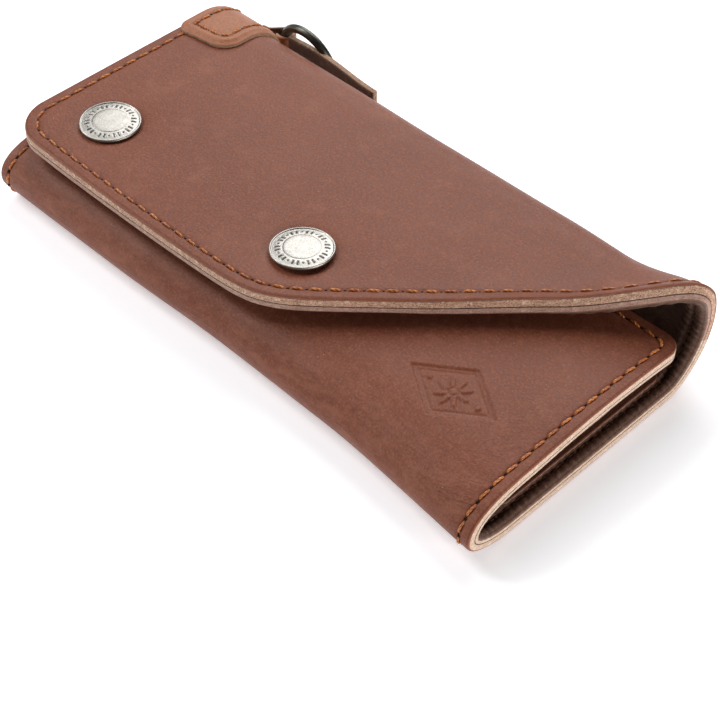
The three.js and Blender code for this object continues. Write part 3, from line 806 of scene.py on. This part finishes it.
def wrap_piece(name, columns, rows, rim, layer, open_sides, motion, replaced):
    x = over_rows(columns, rows)
    base, inward = wrap_surface(x, rows)
    y = base[..., 1]
    if layer == "outer":
        top = outer_relief(x, rows, y, rim)
        bottom = np.full(rows.shape, OUTER_THICKNESS)
        looks, slot = OUTER_LOOKS, "outer_leather"
    else:
        top = np.full(rows.shape, OUTER_THICKNESS + LAYER_LINE)
        bottom = SHELL_THICKNESS - lining_relief(rows, rim)
        looks, slot = LINING_LOOKS, "lining_leather"
    if name.endswith("flap"):
        swell = FLAP_EDGE_EXTRA * (1 - smooth_step(4, 14, rim)) * smooth_step(4, 20, rows)
        bottom = bottom + swell * (0.6 if layer == "outer" else 1.0)
        if layer != "outer":
            top = top + 0.6 * swell
        looks = FLAP_OUTER_LOOKS if layer == "outer" else FLAP_LINING_LOOKS
    flat = np.stack([x, rows], -1)
    piece = sheet_object(name, base, inward, flat, top, bottom, looks, open_sides, rim, fold_wear(rows, y))
    attach(piece, motion, slot, *replaced)


def panel_rim(x, rows, left, right):
    """Distance from the nearest edge of a panel between left and right."""
    across = np.minimum(x - left, right - x)
    return np.minimum(across, np.minimum(rows - rows[:, :1], rows[:, -1:] - rows))


def refined(values, low, high, step):
    """The values, with a finer even run between low and high."""
    values = np.asarray(values)
    outside = values[(values < low - step / 2) | (values > high + step / 2)]
    return np.sort(np.concatenate([outside, np.arange(low, high, step)]))


def columns_for(layer):
    count, rim_steps = (190, RIM) if layer == "outer" else (110, COARSE_RIM)
    return spaced(-HALF_LENGTH, HALF_LENGTH, count, rim_steps, rim_steps)[0]


BODY_OUTLINE = outline(leaf_edge_s, lambda x: 20.0)
FLAP_OUTLINE = outline(flap_front_s, lambda x: -20.0)


def body_rows(columns, layer):
    """Rows from the leaf's free edge to the end of the back panel, finer across the pressed motif."""
    start, end = leaf_edge_s(columns), back_end_s(columns)
    if layer != "outer":
        return spaced(start, end, 300, COARSE_RIM, JOIN)
    middle = np.full(TABLE_S.shape, MOTIF_CENTRE[0])
    motif_start = float(leaf_edge_s(MOTIF_CENTRE[0]))
    on_leaf = TABLE_S[(TABLE_S > motif_start) & (TABLE_S < motif_start + 80)]
    y = wrap_points(middle[: len(on_leaf)], on_leaf)[:, 1]
    reach = MOTIF_HALF_SIZE[1] + 1.5
    ends = [MOTIF_CENTRE[1] - reach, MOTIF_CENTRE[1] + reach]
    near, far = np.interp(ends, y[::-1], on_leaf[::-1]) - motif_start
    length = float(back_end_s(MOTIF_CENTRE[0])) - motif_start
    steps = refined(spaced(0.0, length, 120, RIM, JOIN)[0], far, near, 0.3)
    return start[:, None] + steps * ((end - start) / length)[:, None]


def wallet_layer(layer):
    flap_columns = columns_for(layer)
    body_columns = flap_columns
    if layer == "outer":
        reach = MOTIF_HALF_SIZE[0] + 1
        body_columns = refined(flap_columns, MOTIF_CENTRE[0] - reach, MOTIF_CENTRE[0] + reach, 0.3)
    rim_steps = RIM if layer == "outer" else COARSE_RIM

    rows = body_rows(body_columns, layer)
    rim = distance_to(BODY_OUTLINE, over_rows(body_columns, rows), rows)
    wrap_piece(
        f"{layer}_leather_body", body_columns, rows, rim, layer, ("end",), NEAR_FOLD_BEND,
        (f"{layer}_front_panel", f"{layer}_back_panel"))

    spine_rows = 26 if layer == "outer" else 48
    rows = spaced(back_end_s(flap_columns), np.zeros(len(flap_columns)), spine_rows, JOIN, JOIN)
    rim = over_rows(HALF_LENGTH - np.abs(flap_columns), rows)
    wrap_piece(
        f"{layer}_leather_spine", flap_columns, rows, rim, layer, ("start", "end"), SPINE_FOLD_BEND,
        (f"{layer}_spine",))

    rows = spaced(np.zeros(len(flap_columns)), flap_front_s(flap_columns), 76, JOIN, rim_steps)
    rim = distance_to(FLAP_OUTLINE, over_rows(flap_columns, rows), rows)
    wrap_piece(
        f"{layer}_leather_flap", flap_columns, rows, rim, layer, ("start",), FLAP_FOLD_BEND,
        (f"{layer}_flap",))


wallet_layer("outer")
wallet_layer("lining")


# ---------------------------------------------------------------- seams

TUBE_SIDES = 6
STITCH_POINTS = 7
THREAD_UV_STEP = (0.6, 0.4)
HOLE_SIDES = 10
HOLE_OFFSET = 0.6                 # from the stitch's end to the middle of its hole
HOLE_SINK = 0.16
HOLE_RISE = 0.05


def tube(path, side, top, radius, first):
    """A capped tube round a path: its points, and its faces numbered from first."""
    turn = np.linspace(0, 2 * np.pi, TUBE_SIDES, endpoint=False)
    ring = side[:, None] * np.cos(turn)[None, :, None] + top[:, None] * np.sin(turn)[None, :, None]
    ids = first + np.arange(len(path) * TUBE_SIDES).reshape(len(path), TUBE_SIDES)
    return (path[:, None] + radius * ring).reshape(-1, 3), capped_rings(ids)


def thread_uvs(rings):
    """The place on the unrolled thread of each corner of a stitch's faces, ends last."""
    ring, around = np.meshgrid(np.arange(rings - 1), np.arange(TUBE_SIDES), indexing="ij")
    corners = np.array([(0, 0), (0, 1), (1, 1), (1, 0)])
    walls = np.stack([ring, around], -1).reshape(-1, 1, 2) + corners
    return np.concatenate([walls.reshape(-1, 2) * THREAD_UV_STEP, np.zeros((2 * TUBE_SIDES, 2))])


def hole_shade_mark(end, toward, normal, size):
    """A dark cone of painted shade for the pricked hole that a stitch's end goes down into: a low cone's
    points.
    """
    toward = normalised(toward - normal * (toward @ normal))
    across = np.cross(normal, toward)
    angle = np.linspace(0, 2 * np.pi, HOLE_SIDES, endpoint=False)[:, None]
    spread = toward * HOLE_LENGTH * np.cos(angle) + across * HOLE_WIDTH * np.sin(angle)
    centre = end + toward * (HOLE_OFFSET * size)
    rim = centre + spread * (size / 2) - normal * HOLE_SINK
    return np.concatenate([rim, [centre + normal * HOLE_RISE]])


def seam_object(name, places, normals, motion, thread_radius=THREAD_RADIUS, thread=None):
    """A row of stitches. places is (count, points, 3) along each stitch on the leather's face,
    normals the directions out of the face."""
    vertices, faces, slots, uvs = [], [], [], []
    lift = np.linspace(0, 1, places.shape[1])
    rise = 0.7 * thread_radius * np.sin(np.pi * lift) ** 0.5
    arch = rise - 1.1 * thread_radius * (np.abs(2 * lift - 1) ** 6)
    slant = 0.35 * thread_radius * np.sin(np.pi * (lift - 0.5))
    width = thread_radius * (0.82 + 0.18 * np.sin(np.pi * lift))[:, None, None]
    stitch_uvs = thread_uvs(places.shape[1])
    for line, up in zip(places, normals):
        ahead = normalised(np.gradient(line, axis=0))
        side = normalised(np.cross(ahead, up))
        line = line + up * arch[:, None] + side * slant[:, None]
        ahead = normalised(np.gradient(line, axis=0))
        side = normalised(np.cross(ahead, up))
        points, made = tube(line, side, np.cross(side, ahead), width, len(vertices))
        vertices.extend(points)
        faces.extend(made)
        slots.extend([0] * len(made))
        uvs.extend(stitch_uvs)
        # Each end of a stitch dips into a dark cone of painted shade that stands for its hole.
        for end, toward in ((line[0], -ahead[0]), (line[-1], ahead[-1])):
            first = len(vertices)
            vertices.extend(hole_shade_mark(end - up[0] * arch[0], toward, up[0], thread_radius / THREAD_RADIUS))
            for k in range(HOLE_SIDES):
                faces.append((first + k, first + (k + 1) % HOLE_SIDES, first + HOLE_SIDES))
            slots.extend([1] * HOLE_SIDES)
            uvs.extend([(0.0, 0.0)] * (3 * HOLE_SIDES))
    piece = mesh_object(name, vertices, faces, [thread or THREAD, HOLE_SHADE], slots, uvs)
    attach(piece, motion, "thread")


def along_line(line, distances):
    length = run_lengths(line)
    return np.stack([np.interp(distances, length, line[:, k]) for k in range(line.shape[1])], -1)


def line_length(line):
    return float(run_lengths(line)[-1])


def stitch_places(line, phase, pitch=STITCH_PITCH):
    """Where each stitch lies along a line: (count, points, 2)."""
    starts = np.arange(phase, line_length(line) - 0.6 * pitch, pitch)
    part = np.linspace(0.12, 0.88, STITCH_POINTS) * pitch
    return along_line(line, starts[:, None] + part[None])


def wrap_seam(name, line, phase, face, motion):
    """Stitches on the finished face or on the lining of the wrap, along a line of (x, s)."""
    flat = stitch_places(line, phase)
    x, s = flat[..., 0], flat[..., 1]
    base, inward = wrap_surface(x, s)
    if face == "outer":
        seam_object(name, base + inward * 0.2, -inward, motion)
    else:
        depth = SHELL_THICKNESS - lining_relief(s, np.full(s.shape, SEAM_INSET))
        face_points = base + inward * depth[..., None]
        seam_object(name, face_points, inward, motion, LINING_THREAD_RADIUS, LINING_THREAD)


def phase_at(s):
    """Distance from s to the next stitch hole, so that a seam runs on from piece to piece."""
    return float(-s % STITCH_PITCH)


def wallet_seams():
    seam_x = HALF_LENGTH - SEAM_INSET
    body_line = inset_line(outline(leaf_edge_s, back_end_s)[::-1], SEAM_INSET)
    flap_line = inset_line(outline(flap_front_s, lambda x: 0.0), SEAM_INSET)
    body_phase = STITCH_PITCH - phase_at(float(back_end_s(seam_x)))
    for face in ("outer", "lining"):
        wrap_seam(f"{face}_seam_body", body_line, body_phase, face, NEAR_FOLD_BEND)
        for side, x in (("left", -seam_x), ("right", seam_x)):
            start = float(back_end_s(x))
            line = np.stack([np.full(200, x), np.linspace(start, 0.0, 200)], 1)
            wrap_seam(f"{face}_seam_spine_{side}", line, phase_at(start), face, SPINE_FOLD_BEND)
        wrap_seam(f"{face}_seam_flap", flap_line, 0.0, face, FLAP_FOLD_BEND)


wallet_seams()


# ---------------------------------------------------------------- snap fasteners

def lathe_object(name, profile, segments, material, patina_and_shade, height):
    """A turned shape from (radius, height) pairs; height(radius, turn) raises its surface, and
    patina_and_shade(radius, turn) says where dark patina gathers and where painted shade falls."""
    radii = np.array([r for r, _ in profile])
    heights = np.array([h for _, h in profile])
    turns = np.linspace(0, 2 * np.pi, segments, endpoint=False)
    radius, turn = np.meshgrid(radii, turns, indexing="ij")
    level = heights[:, None] + height(radius, turn)
    points = np.stack([radius * np.cos(turn), radius * np.sin(turn), level], -1)
    ids = np.arange(radius.size).reshape(radius.shape)
    shades = {"patina_and_shade": patina_and_shade(radius, turn).ravel()}
    return mesh_object(name, points.reshape(-1, 3), capped_rings(ids), [material], attributes=shades)


CAP_TICKS = 30
CAP_BAND = (5.6, 8.2)             # the radii between which the cap's border pattern lies
CAP_FACE_RADIUS = 8.5             # the pressed face ends here, at the rolled rim


def cap_ticks(radius, turn):
    """1 on the short pressed strokes of the cap's border, which alternate with dots."""
    step = 2 * np.pi / CAP_TICKS
    number = np.floor(turn / step)
    middle = (CAP_BAND[0] + CAP_BAND[1]) / 2
    across = (turn - (number + 0.5) * step) * radius
    stroke = hump(across, 0, 0.3) * (1 - smooth_step(0.65, 0.95, np.abs(radius - middle)))
    dot = np.exp(-((across**2 + (radius - middle) ** 2) / 0.32**2))
    return np.where(number % 3 == 2, dot, stroke)


def snap_cap(side, centre):
    """A low pressed cap: flat middle, border pattern, bright rolled rim, and the post under it."""
    radii = np.concatenate([np.linspace(0.05, 5.0, 7), np.linspace(5.15, CAP_FACE_RADIUS, 34)])
    dome = (1.75 - 0.10 * (radii / 5.2) ** 2 - 0.1 * smooth_step(5.0, 5.5, radii)
            - 0.22 * smooth_step(6.5, CAP_FACE_RADIUS, radii))
    top = list(zip(radii, dome))
    rim = [(8.62, 1.33), (8.74, 1.4), (8.9, 1.42), (9.05, 1.36), (9.16, 1.2), (9.2, 0.95), (9.14, 0.6),
           (8.95, 0.3), (8.5, 0.12), (7.5, 0.0), (1.7, 0.0), (1.7, -2.6), (0.05, -2.6)]
    profile = (top + rim)[::-1]

    def height(radius, turn):
        on_band = (radius > 5.4) & (radius < CAP_FACE_RADIUS)
        return np.where(on_band, -0.16 * cap_ticks(radius, turn), 0)

    # Dark patina in the pressed strokes and the two grooves; painted shade on the cap's underside and post.
    def patina_and_shade(radius, turn):
        ticks = 0.95 * cap_ticks(radius, turn) * (radius < CAP_FACE_RADIUS)
        rings = 0.3 * hump(radius, 5.25, 0.18) + 0.55 * hump(radius, 8.56, 0.1)
        from_foot = np.arange(len(profile))[:, None] + 0 * turn
        face, underside = from_foot >= len(rim), from_foot < 7
        return np.clip(ticks + rings * face + 0.5 * underside, 0, 1)

    cap = lathe_object(f"{side}_snap_cap_detail", profile, 288, NICKEL, patina_and_shade, height)
    towards_corner = Vector((1, -1, 0)).normalized()
    axis = Vector((0, 0, 1)).cross(towards_corner)
    tilt = Matrix.Rotation(math.radians(-CAP_TILTS[side]), 4, axis)
    cap.data.transform(Matrix.Translation(Vector((*centre, CAP_FOOT)) * MM) @ tilt)
    attach(cap, "flap", "snap_metal", f"{side}_snap_cap")


for snap_side, snap_centre in SNAP_CENTRES.items():
    snap_cap(snap_side, snap_centre)


def softened(node, name, material, body, width, slot):
    """A CAD part's shape with its sharp edges rounded off, standing for that part."""
    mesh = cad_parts[node].data.copy()
    mesh.name = name
    piece = link_object(name, mesh)
    mesh.materials.clear()
    mesh.materials.append(material)
    mesh.polygons.foreach_set("material_index", np.zeros(len(mesh.polygons), np.int32))
    weld = piece.modifiers.new("weld", "WELD")
    weld.merge_threshold = 0.00001
    bevel = piece.modifiers.new("bevel", "BEVEL")
    bevel.width = width * MM
    bevel.segments = 2
    bevel.limit_method = "ANGLE"
    bevel.angle_limit = math.radians(35)
    depsgraph = bpy.context.evaluated_depsgraph_get()
    final = bpy.data.meshes.new_from_object(piece.evaluated_get(depsgraph))
    piece.modifiers.clear()
    piece.data = final
    final.polygons.foreach_set("use_smooth", np.ones(len(final.polygons), bool))
    final.set_sharp_from_angle(angle=math.radians(40))
    attach(piece, body, slot, node)


SNAP_INNER_PARTS = (("socket", "flap", 0.15), ("stud", "front_leaf", 0.12), ("eyelet", "front_leaf", 0.12))
for snap_side in SNAP_CENTRES:
    for kind, holder, width in SNAP_INNER_PARTS:
        softened(f"{snap_side}_snap_{kind}", f"{snap_side}_{kind}_soft", NICKEL, holder, width, "snap_metal")


# ---------------------------------------------------------------- corner strap

def strap_end_s(x):
    """The strap's end on the flap: cut at a slight slant, with rounded corners."""
    slant = 0.13 * (x + HALF_LENGTH)
    corners = rounding(x + HALF_LENGTH, STRAP_LEFT_RADIUS) + rounding(STRAP_RIGHT_X - x, STRAP_RIGHT_RADIUS)
    return flap_s_at(x, STRAP_END_Y + slant + corners)


def strap_foot_s(x):
    """The strap's square end low on the spine."""
    return STRAP_FOOT_S + 0 * x


STRAP_OUTSIDE = -STRAP_THICKNESS - 0.05
STRAP_SEAM_INSET = 4.2
STRAP_PITCH = 4.2


def strap_piece(name, rows, columns, rim, open_sides, motion, replaced):
    """A strap glued on the outer leather, with a second ridge stepping down to its edge."""
    x = over_rows(columns, rows)
    base, inward = wrap_surface(x, rows)
    step = 0.7 * (1 - smooth_step(1.1, 1.7, rim))
    seam = 0.28 * hump(rim, STRAP_SEAM_INSET, 0.5)
    top = STRAP_OUTSIDE + rounding(rim, 0.4) + step + seam + 0.06 * ripple(2 * x, 2 * rows)
    bottom = np.full(rows.shape, -0.03)
    flat = np.stack([x + STRAP_HIDE, rows], -1)
    piece = sheet_object(name, base, inward, flat, top, bottom, STRAP_LOOKS, open_sides, rim, fray=0.07)
    attach(piece, motion, "strap_leather", replaced)


def strap_outline(end_s, start):
    x = np.concatenate([-HALF_LENGTH + END_CREEP, STRAP_RIGHT_X - END_CREEP[-2::-1]])
    return strip_border(x, end_s, lambda _: start, 40)


def corner_strap():
    columns = spaced(-HALF_LENGTH, STRAP_RIGHT_X, 12, COARSE_RIM, COARSE_RIM)[0]
    zeros = np.zeros(len(columns))
    rows = spaced(zeros, strap_end_s(columns), 30, JOIN, COARSE_RIM)
    rim = distance_to(strap_outline(strap_end_s, -20.0), over_rows(columns, rows), rows)
    strap_piece("corner_patch_leather", rows, columns, rim, ("start",), FLAP_FOLD_BEND, "corner_patch")

    rows = spaced(strap_foot_s(columns), zeros, 10, COARSE_RIM, JOIN)
    rim = distance_to(strap_outline(strap_foot_s, 20.0), over_rows(columns, rows), rows)
    strap_piece("corner_strap_leather", rows, columns, rim, ("end",), SPINE_FOLD_BEND, "corner_strap")

    for name, line, phase, motion in (
            ("corner_patch_seam", strap_outline(strap_end_s, 0.0), 0.0, FLAP_FOLD_BEND),
            ("corner_strap_seam", strap_outline(strap_foot_s, 0.0)[::-1], 0.6, SPINE_FOLD_BEND)):
        flat = stitch_places(inset_line(line, STRAP_SEAM_INSET), phase, STRAP_PITCH)
        base, inward = wrap_surface(flat[..., 0], flat[..., 1])
        seam_object(name, base + inward * (STRAP_OUTSIDE + 0.16), -inward, motion)


corner_strap()


# ---------------------------------------------------------------- ring, its keeper and the tab

def chain_ring():
    turn = np.linspace(0, 2 * np.pi, RING_SEGMENTS, endpoint=False)[:, None]
    around = np.linspace(0, 2 * np.pi, RING_SIDES, endpoint=False)[None]
    reach = RING_RADIUS + RING_WIRE_RADIUS * np.cos(around)
    x = reach * np.cos(turn)
    z = reach * np.sin(turn)
    y = RING_WIRE_RADIUS * np.sin(around) + 0 * turn
    lean = math.radians(RING_TILT)
    y, z = y * math.cos(lean) - z * math.sin(lean), y * math.sin(lean) + z * math.cos(lean)
    points = np.stack([x, y, z], -1) + np.array(RING_CENTRE)
    ids = np.arange(RING_SEGMENTS * RING_SIDES).reshape(RING_SEGMENTS, RING_SIDES)
    nxt = np.roll(ids, -1, 0)
    quads = np.stack([ids, np.roll(ids, -1, 1), np.roll(nxt, -1, 1), nxt], -1).reshape(-1, 4)
    ring = mesh_object("chain_ring_wire", points.reshape(-1, 3), quads, [GUNMETAL],
                       attributes={"patina_and_shade": np.zeros(ids.size)})
    attach(ring, "ring", "ring_metal", "chain_ring")


chain_ring()


def band_object(name, path, low, high, thickness, replaced):
    """An upright band of leather on the spine: path lists (x, y) places of its outer face, from above."""
    path = np.array(path, float)
    length = line_length(path)
    u = spaced(0.0, length, max(12, int(length / 1.0)), COARSE_RIM[:6], COARSE_RIM[:6])[0]
    v = spaced(low, high, 8, COARSE_RIM[:6], COARSE_RIM[:6])[0]
    line = along_line(path, u)
    ahead = normalised(np.gradient(line, axis=0))
    base = np.zeros((len(u), len(v), 3))
    base[..., :2] = line[:, None]
    base[..., 2] = v[None]
    inward = np.zeros(base.shape)
    inward[..., 0] = ahead[:, 1][:, None]
    inward[..., 1] = -ahead[:, 0][:, None]
    along, up = np.meshgrid(u, v, indexing="ij")
    rim = np.minimum(np.minimum(along, length - along), np.minimum(up - low, high - up))
    top = rounding(rim, 0.5) + 0.05 * ripple(3 * along, 3 * up)
    bottom = thickness - rounding(rim, 0.4)
    flat = np.stack([along + BAND_HIDE, up], -1)
    piece = sheet_object(name, base, inward, flat, top, bottom, STRAP_LOOKS, (), rim, 0.2 + 0 * rim)
    attach(piece, "spine", "strap_leather", replaced)


def ring_keeper():
    """A strip folded round the ring's left side, with its tail flat against the corner strap."""
    hinge_x, hinge_y = RING_CENTRE[0] - RING_RADIUS, RING_CENTRE[1]
    radius = 3.5
    tail_y = SPINE_Y + SPINE_DEPTH + STRAP_THICKNESS + 2.6
    angles = np.radians(np.linspace(115, -118, 24))
    loop = [(hinge_x + radius * math.cos(a), hinge_y + radius * math.sin(a)) for a in angles]
    tail = [(hinge_x - 8.0, tail_y - 0.4), (hinge_x - 5.5, tail_y)]
    band_object("ring_keeper_loop", tail + loop, low=9.9, high=17.4, thickness=1.35, replaced="ring_keeper")


ring_keeper()


def spine_tab():
    """A flat tab beside the spine that stands away from it at its ring end."""
    x = np.linspace(-75.5, -36.0, 30)
    y = 50.9 + 2.1 * (1 - smooth_step(-62, -36, x)) - 0.5 * smooth_step(-66, -75.5, x)
    path = np.stack([x, y], 1)
    # The tab's face towards the spine takes the flesh side's darkened tone, painted shade for the gap.
    band_object("spine_tab_leather", path, low=6.0, high=20.0, thickness=2.2, replaced="spine_tab")


spine_tab()


# ---------------------------------------------------------------- inside: pockets and zip

POCKET_LOOKS = [POCKET_LEATHER, TAN_EDGE, POCKET_LEATHER]
CARD_POCKET_FOOT_Y = -29.0
CARD_POCKET_MOUTHS = (17.5, 8.0, -1.5)
POCKET_THICKNESS = 1.0
LAYER_STEP = 1.3
BACKING_DEPTH = 5.4


def flat_seam(name, corners, face_at, motion):
    """Fine stitches along a line of (x, y) corners; face_at gives points and outward directions."""
    flat = stitch_places(np.array(corners, float), 0.8, FINE_PITCH)
    points, outward = face_at(flat[..., 0], flat[..., 1])
    seam_object(name, points, outward, motion, thread_radius=FINE_THREAD_RADIUS)


def leaf_layer(name, left, right, mouth, depth, node, seam):
    """A leather layer under the front leaf, from its foot near the fold to its mouth."""
    columns = spaced(left, right, int((right - left) / 3), COARSE_RIM[:7], COARSE_RIM[:7])[0]
    start = leaf_s_at(columns, mouth)
    end = leaf_s_at(columns, CARD_POCKET_FOOT_Y)
    rows = spaced(start, end, int((mouth - CARD_POCKET_FOOT_Y) / 2.5), COARSE_RIM[:7], COARSE_RIM[:7])
    x = over_rows(columns, rows)
    base, inward = wrap_surface(x, rows)
    rim = panel_rim(x, rows, left, right)
    top = depth + rounding(rim, 0.2)
    crease = 0.14 * hump(rows - start[:, None], 1.9, 0.3)
    bottom = depth + POCKET_THICKNESS - rounding(rim, 0.35) - crease + 0.05 * ripple(2 * x, 3 * rows)
    flat = np.stack([x + POCKET_HIDE + 40 * depth, rows], -1)
    piece = sheet_object(name, base, inward, flat, top, bottom, POCKET_LOOKS, (), rim, fray=0.02)
    attach(piece, "front_leaf", "pocket_leather", node)

    def face_at(px, py):
        points, directions = wrap_surface(px, leaf_s_at(px, py))
        return points + directions * (depth + POCKET_THICKNESS), directions

    if seam:
        low, high = CARD_POCKET_FOOT_Y + 2.2, mouth - 1.2
        corners = [(left + 2, high), (left + 2, low), (right - 2, low), (right - 2, high)]
        flat_seam(f"{name}_seam", corners, face_at, "front_leaf")


leaf_layer("card_backing_leather", -93, 93, 25.0, BACKING_DEPTH, "card_backing", seam=False)
for pocket_side, (pocket_left, pocket_right) in {"left": (-92, -1), "right": (1, 92)}.items():
    for pocket_number, pocket_mouth in enumerate(CARD_POCKET_MOUTHS, 1):
        leaf_layer(
            f"card_slot_{pocket_side}_{pocket_number}", pocket_left, pocket_right, pocket_mouth,
            BACKING_DEPTH + pocket_number * LAYER_STEP, f"card_pocket_{pocket_side}_{pocket_number}",
            seam=pocket_number == len(CARD_POCKET_MOUTHS))


def flat_panel(name, left, right, near, far, low, high, looks, node, slot, corner=3.0, seams=()):
    """A level panel on the back panel's inside, with rounded corners and a softened top edge."""
    columns = spaced(left, right, int((right - left) / 3), COARSE_RIM[:8], COARSE_RIM[:8])[0]
    trim = rounding(np.minimum(columns - left, right - columns), corner)
    rows = spaced(near + trim, far - trim, max(6, int((far - near) / 2.5)), COARSE_RIM[:6], COARSE_RIM[:6])
    x = over_rows(columns, rows)
    thickness = high - low
    base = np.stack([x, rows, np.full(rows.shape, low)], -1)
    inward = np.zeros(base.shape)
    inward[..., 2] = 1.0
    rim = panel_rim(x, rows, left, right)
    top = rounding(rim, 0.1 * thickness)
    bottom = thickness - rounding(rim, 0.35 * thickness) + 0.05 * thickness * ripple(2 * x, 3 * rows)
    flat = np.stack([x + PANEL_HIDE + 10 * low, rows], -1)
    piece = sheet_object(name, base, inward, flat, top, bottom, looks, (), rim, fray=0.02 * thickness)
    attach(piece, "back", slot, node)

    def face_at(px, py):
        points = np.stack([px, py, np.full(np.shape(px), high)], -1)
        return points, np.broadcast_to([0.0, 0.0, 1.0], points.shape)

    for number, corners in enumerate(seams, 1):
        flat_seam(f"{name}_seam_{number}", corners, face_at, "back")


# The numbers of each panel: left, right, near and far side, underside and top.
flat_panel("note_divider_leather", -93, 93, -36, 29, 4.3, 5.1, POCKET_LOOKS, "note_divider", "pocket_leather")
flat_panel(
    "coin_pocket_leather", -92, 92, -33, 10.5, 6.2, 7.2, POCKET_LOOKS, "coin_pocket_front", "pocket_leather",
    seams=([(-89.5, 8.5), (-89.5, -30.5), (89.5, -30.5), (89.5, 8.5)], [(-87, 8.6), (87, 8.6)]))
flat_panel(
    "zip_facing_leather", -92, 92, 20.5, 28, 6.2, 7.2, POCKET_LOOKS, "zip_facing", "pocket_leather",
    corner=2.0, seams=([(-89.5, 22.4), (89.5, 22.4)], [(-89.5, 26.1), (89.5, 26.1)]))
TAPE_LOOKS = [TAPE, TAPE, TAPE]
for tape, tape_near, tape_far in (("zip_tape_near", 5.8, 13.8), ("zip_tape_far", 17.2, 25.2)):
    flat_panel(
        f"{tape}_weave", -88, 88, tape_near, tape_far, 5.4, 5.9, TAPE_LOOKS, tape, "zip_tape", corner=0.4)


# One loop of the coil, as steps along the coil, across it and up from its foot.
COIL_LOOP = (
    (0, -1.05, 0.05), (0, 0.1, 0), (0, 0.95, 0.25), (0.1, 1.05, 0.65),
    (0.2, 0.75, 1.05), (0.2, -0.1, 1.12), (0.1, -0.95, 1.0))
COIL_HALF_LENGTH = 84
COIL_Y = 15.5
COIL_FOOT = 5.75


def zip_coil():
    """The closed coil: interlocking loops of nylon, in turn from one side and the other."""
    pitch, wire = 1.15, 0.34
    vertices, faces = [], []
    for number in range(int(2 * COIL_HALF_LENGTH / pitch)):
        x = -COIL_HALF_LENGTH + wire + pitch * number
        side = 1 if number % 2 else -1
        path = np.array([
            (x + along, COIL_Y + side * across, COIL_FOOT + up) for along, across, up in COIL_LOOP])
        ahead = normalised(np.gradient(path, axis=0))
        side_way = normalised(np.cross(ahead, np.array([1.0, 0.05, 0.02])))
        points, made = tube(path, side_way, np.cross(ahead, side_way), wire, len(vertices))
        vertices.extend(points)
        faces.extend(made)
    coil = mesh_object("zip_coil_loops", vertices, faces, [COIL])
    attach(coil, "back", "zip_tape", "zip_coil")


zip_coil()
ZIP_METAL_PARTS = (
    ("stop_left", "back", 0.2), ("stop_right", "back", 0.2),
    ("slider", "slider", 0.2), ("pull", "pull", 0.25))
for kind, holder, width in ZIP_METAL_PARTS:
    softened(f"zip_{kind}", f"zip_{kind}_soft", BRASS, holder, width, "zip_brass")


# ---------------------------------------------------------------- floor, light and camera

def pale_floor():
    look = Look("pale_floor", roughness=0.6, specular=0.2)
    grain = look.noise(look.solid(), 400.0)
    tone = look.mixed(grain, (0.86, 0.87, 0.9), (0.9, 0.9, 0.92))
    material = look.use(Base_Color=tone)
    look.shader.inputs["Emission Color"].default_value = (0.97, 0.98, 1.0, 1.0)
    look.shader.inputs["Emission Strength"].default_value = 0.46
    half = 4000.0
    corners = [(-half, -half, 0), (half, -half, 0), (half, half, 0), (-half, half, 0)]
    floor = mesh_object("floor", np.array(corners, float) - (0, 0, 0.15), [(0, 1, 2, 3)], [material])


def soft_light(name, place, target, size, power, tint=(1, 1, 1)):
    data = bpy.data.lights.new(name, "AREA")
    data.shape = "DISK"
    data.size = size
    data.energy = power
    data.color = tint
    lamp = link_object(name, data)
    lamp.location = place
    lamp.rotation_euler = (Vector(target) - Vector(place)).to_track_quat("-Z", "Y").to_euler()


def room():
    world = bpy.data.worlds.new("studio")
    bpy.context.scene.world = world
    world.use_nodes = True
    background = world.node_tree.nodes["Background"]
    background.inputs["Color"].default_value = (0.93, 0.96, 1.0, 1.0)
    background.inputs["Strength"].default_value = 0.05
    soft_light("back_panel", (-0.62, 1.0, 1.0), (0, 0, 0), 1.4, 21.5)
    soft_light("window", (-0.85, -0.28, 0.9), (0, 0, 0), 0.5, 7.8)
    soft_light("right_fill", (1.1, 0.0, 0.16), (0, 0, 0.02), 0.7, 11.0, (1.0, 0.92, 0.88))
    soft_light("front_fill", (-1.0, -0.8, 0.32), (0, 0, 0), 0.6, 4.2)
    bpy.context.scene.view_settings.view_transform = "Standard"


def camera():
    azimuth, elevation = math.radians(45.0), math.radians(45.4)
    level = math.cos(elevation)
    back = Vector((math.sin(azimuth) * level, -math.cos(azimuth) * level, math.sin(elevation)))
    data = bpy.data.cameras.new("camera")
    data.lens = 89.0
    data.sensor_width = 36.0
    data.clip_start = 0.01
    made = link_object("camera", data)
    made.location = (0.2709, -0.2637, 0.3505)
    made.rotation_mode = "QUATERNION"
    made.rotation_quaternion = (-back).to_track_quat("-Z", "Y")
    bpy.context.scene.camera = made


pale_floor()
room()
camera()
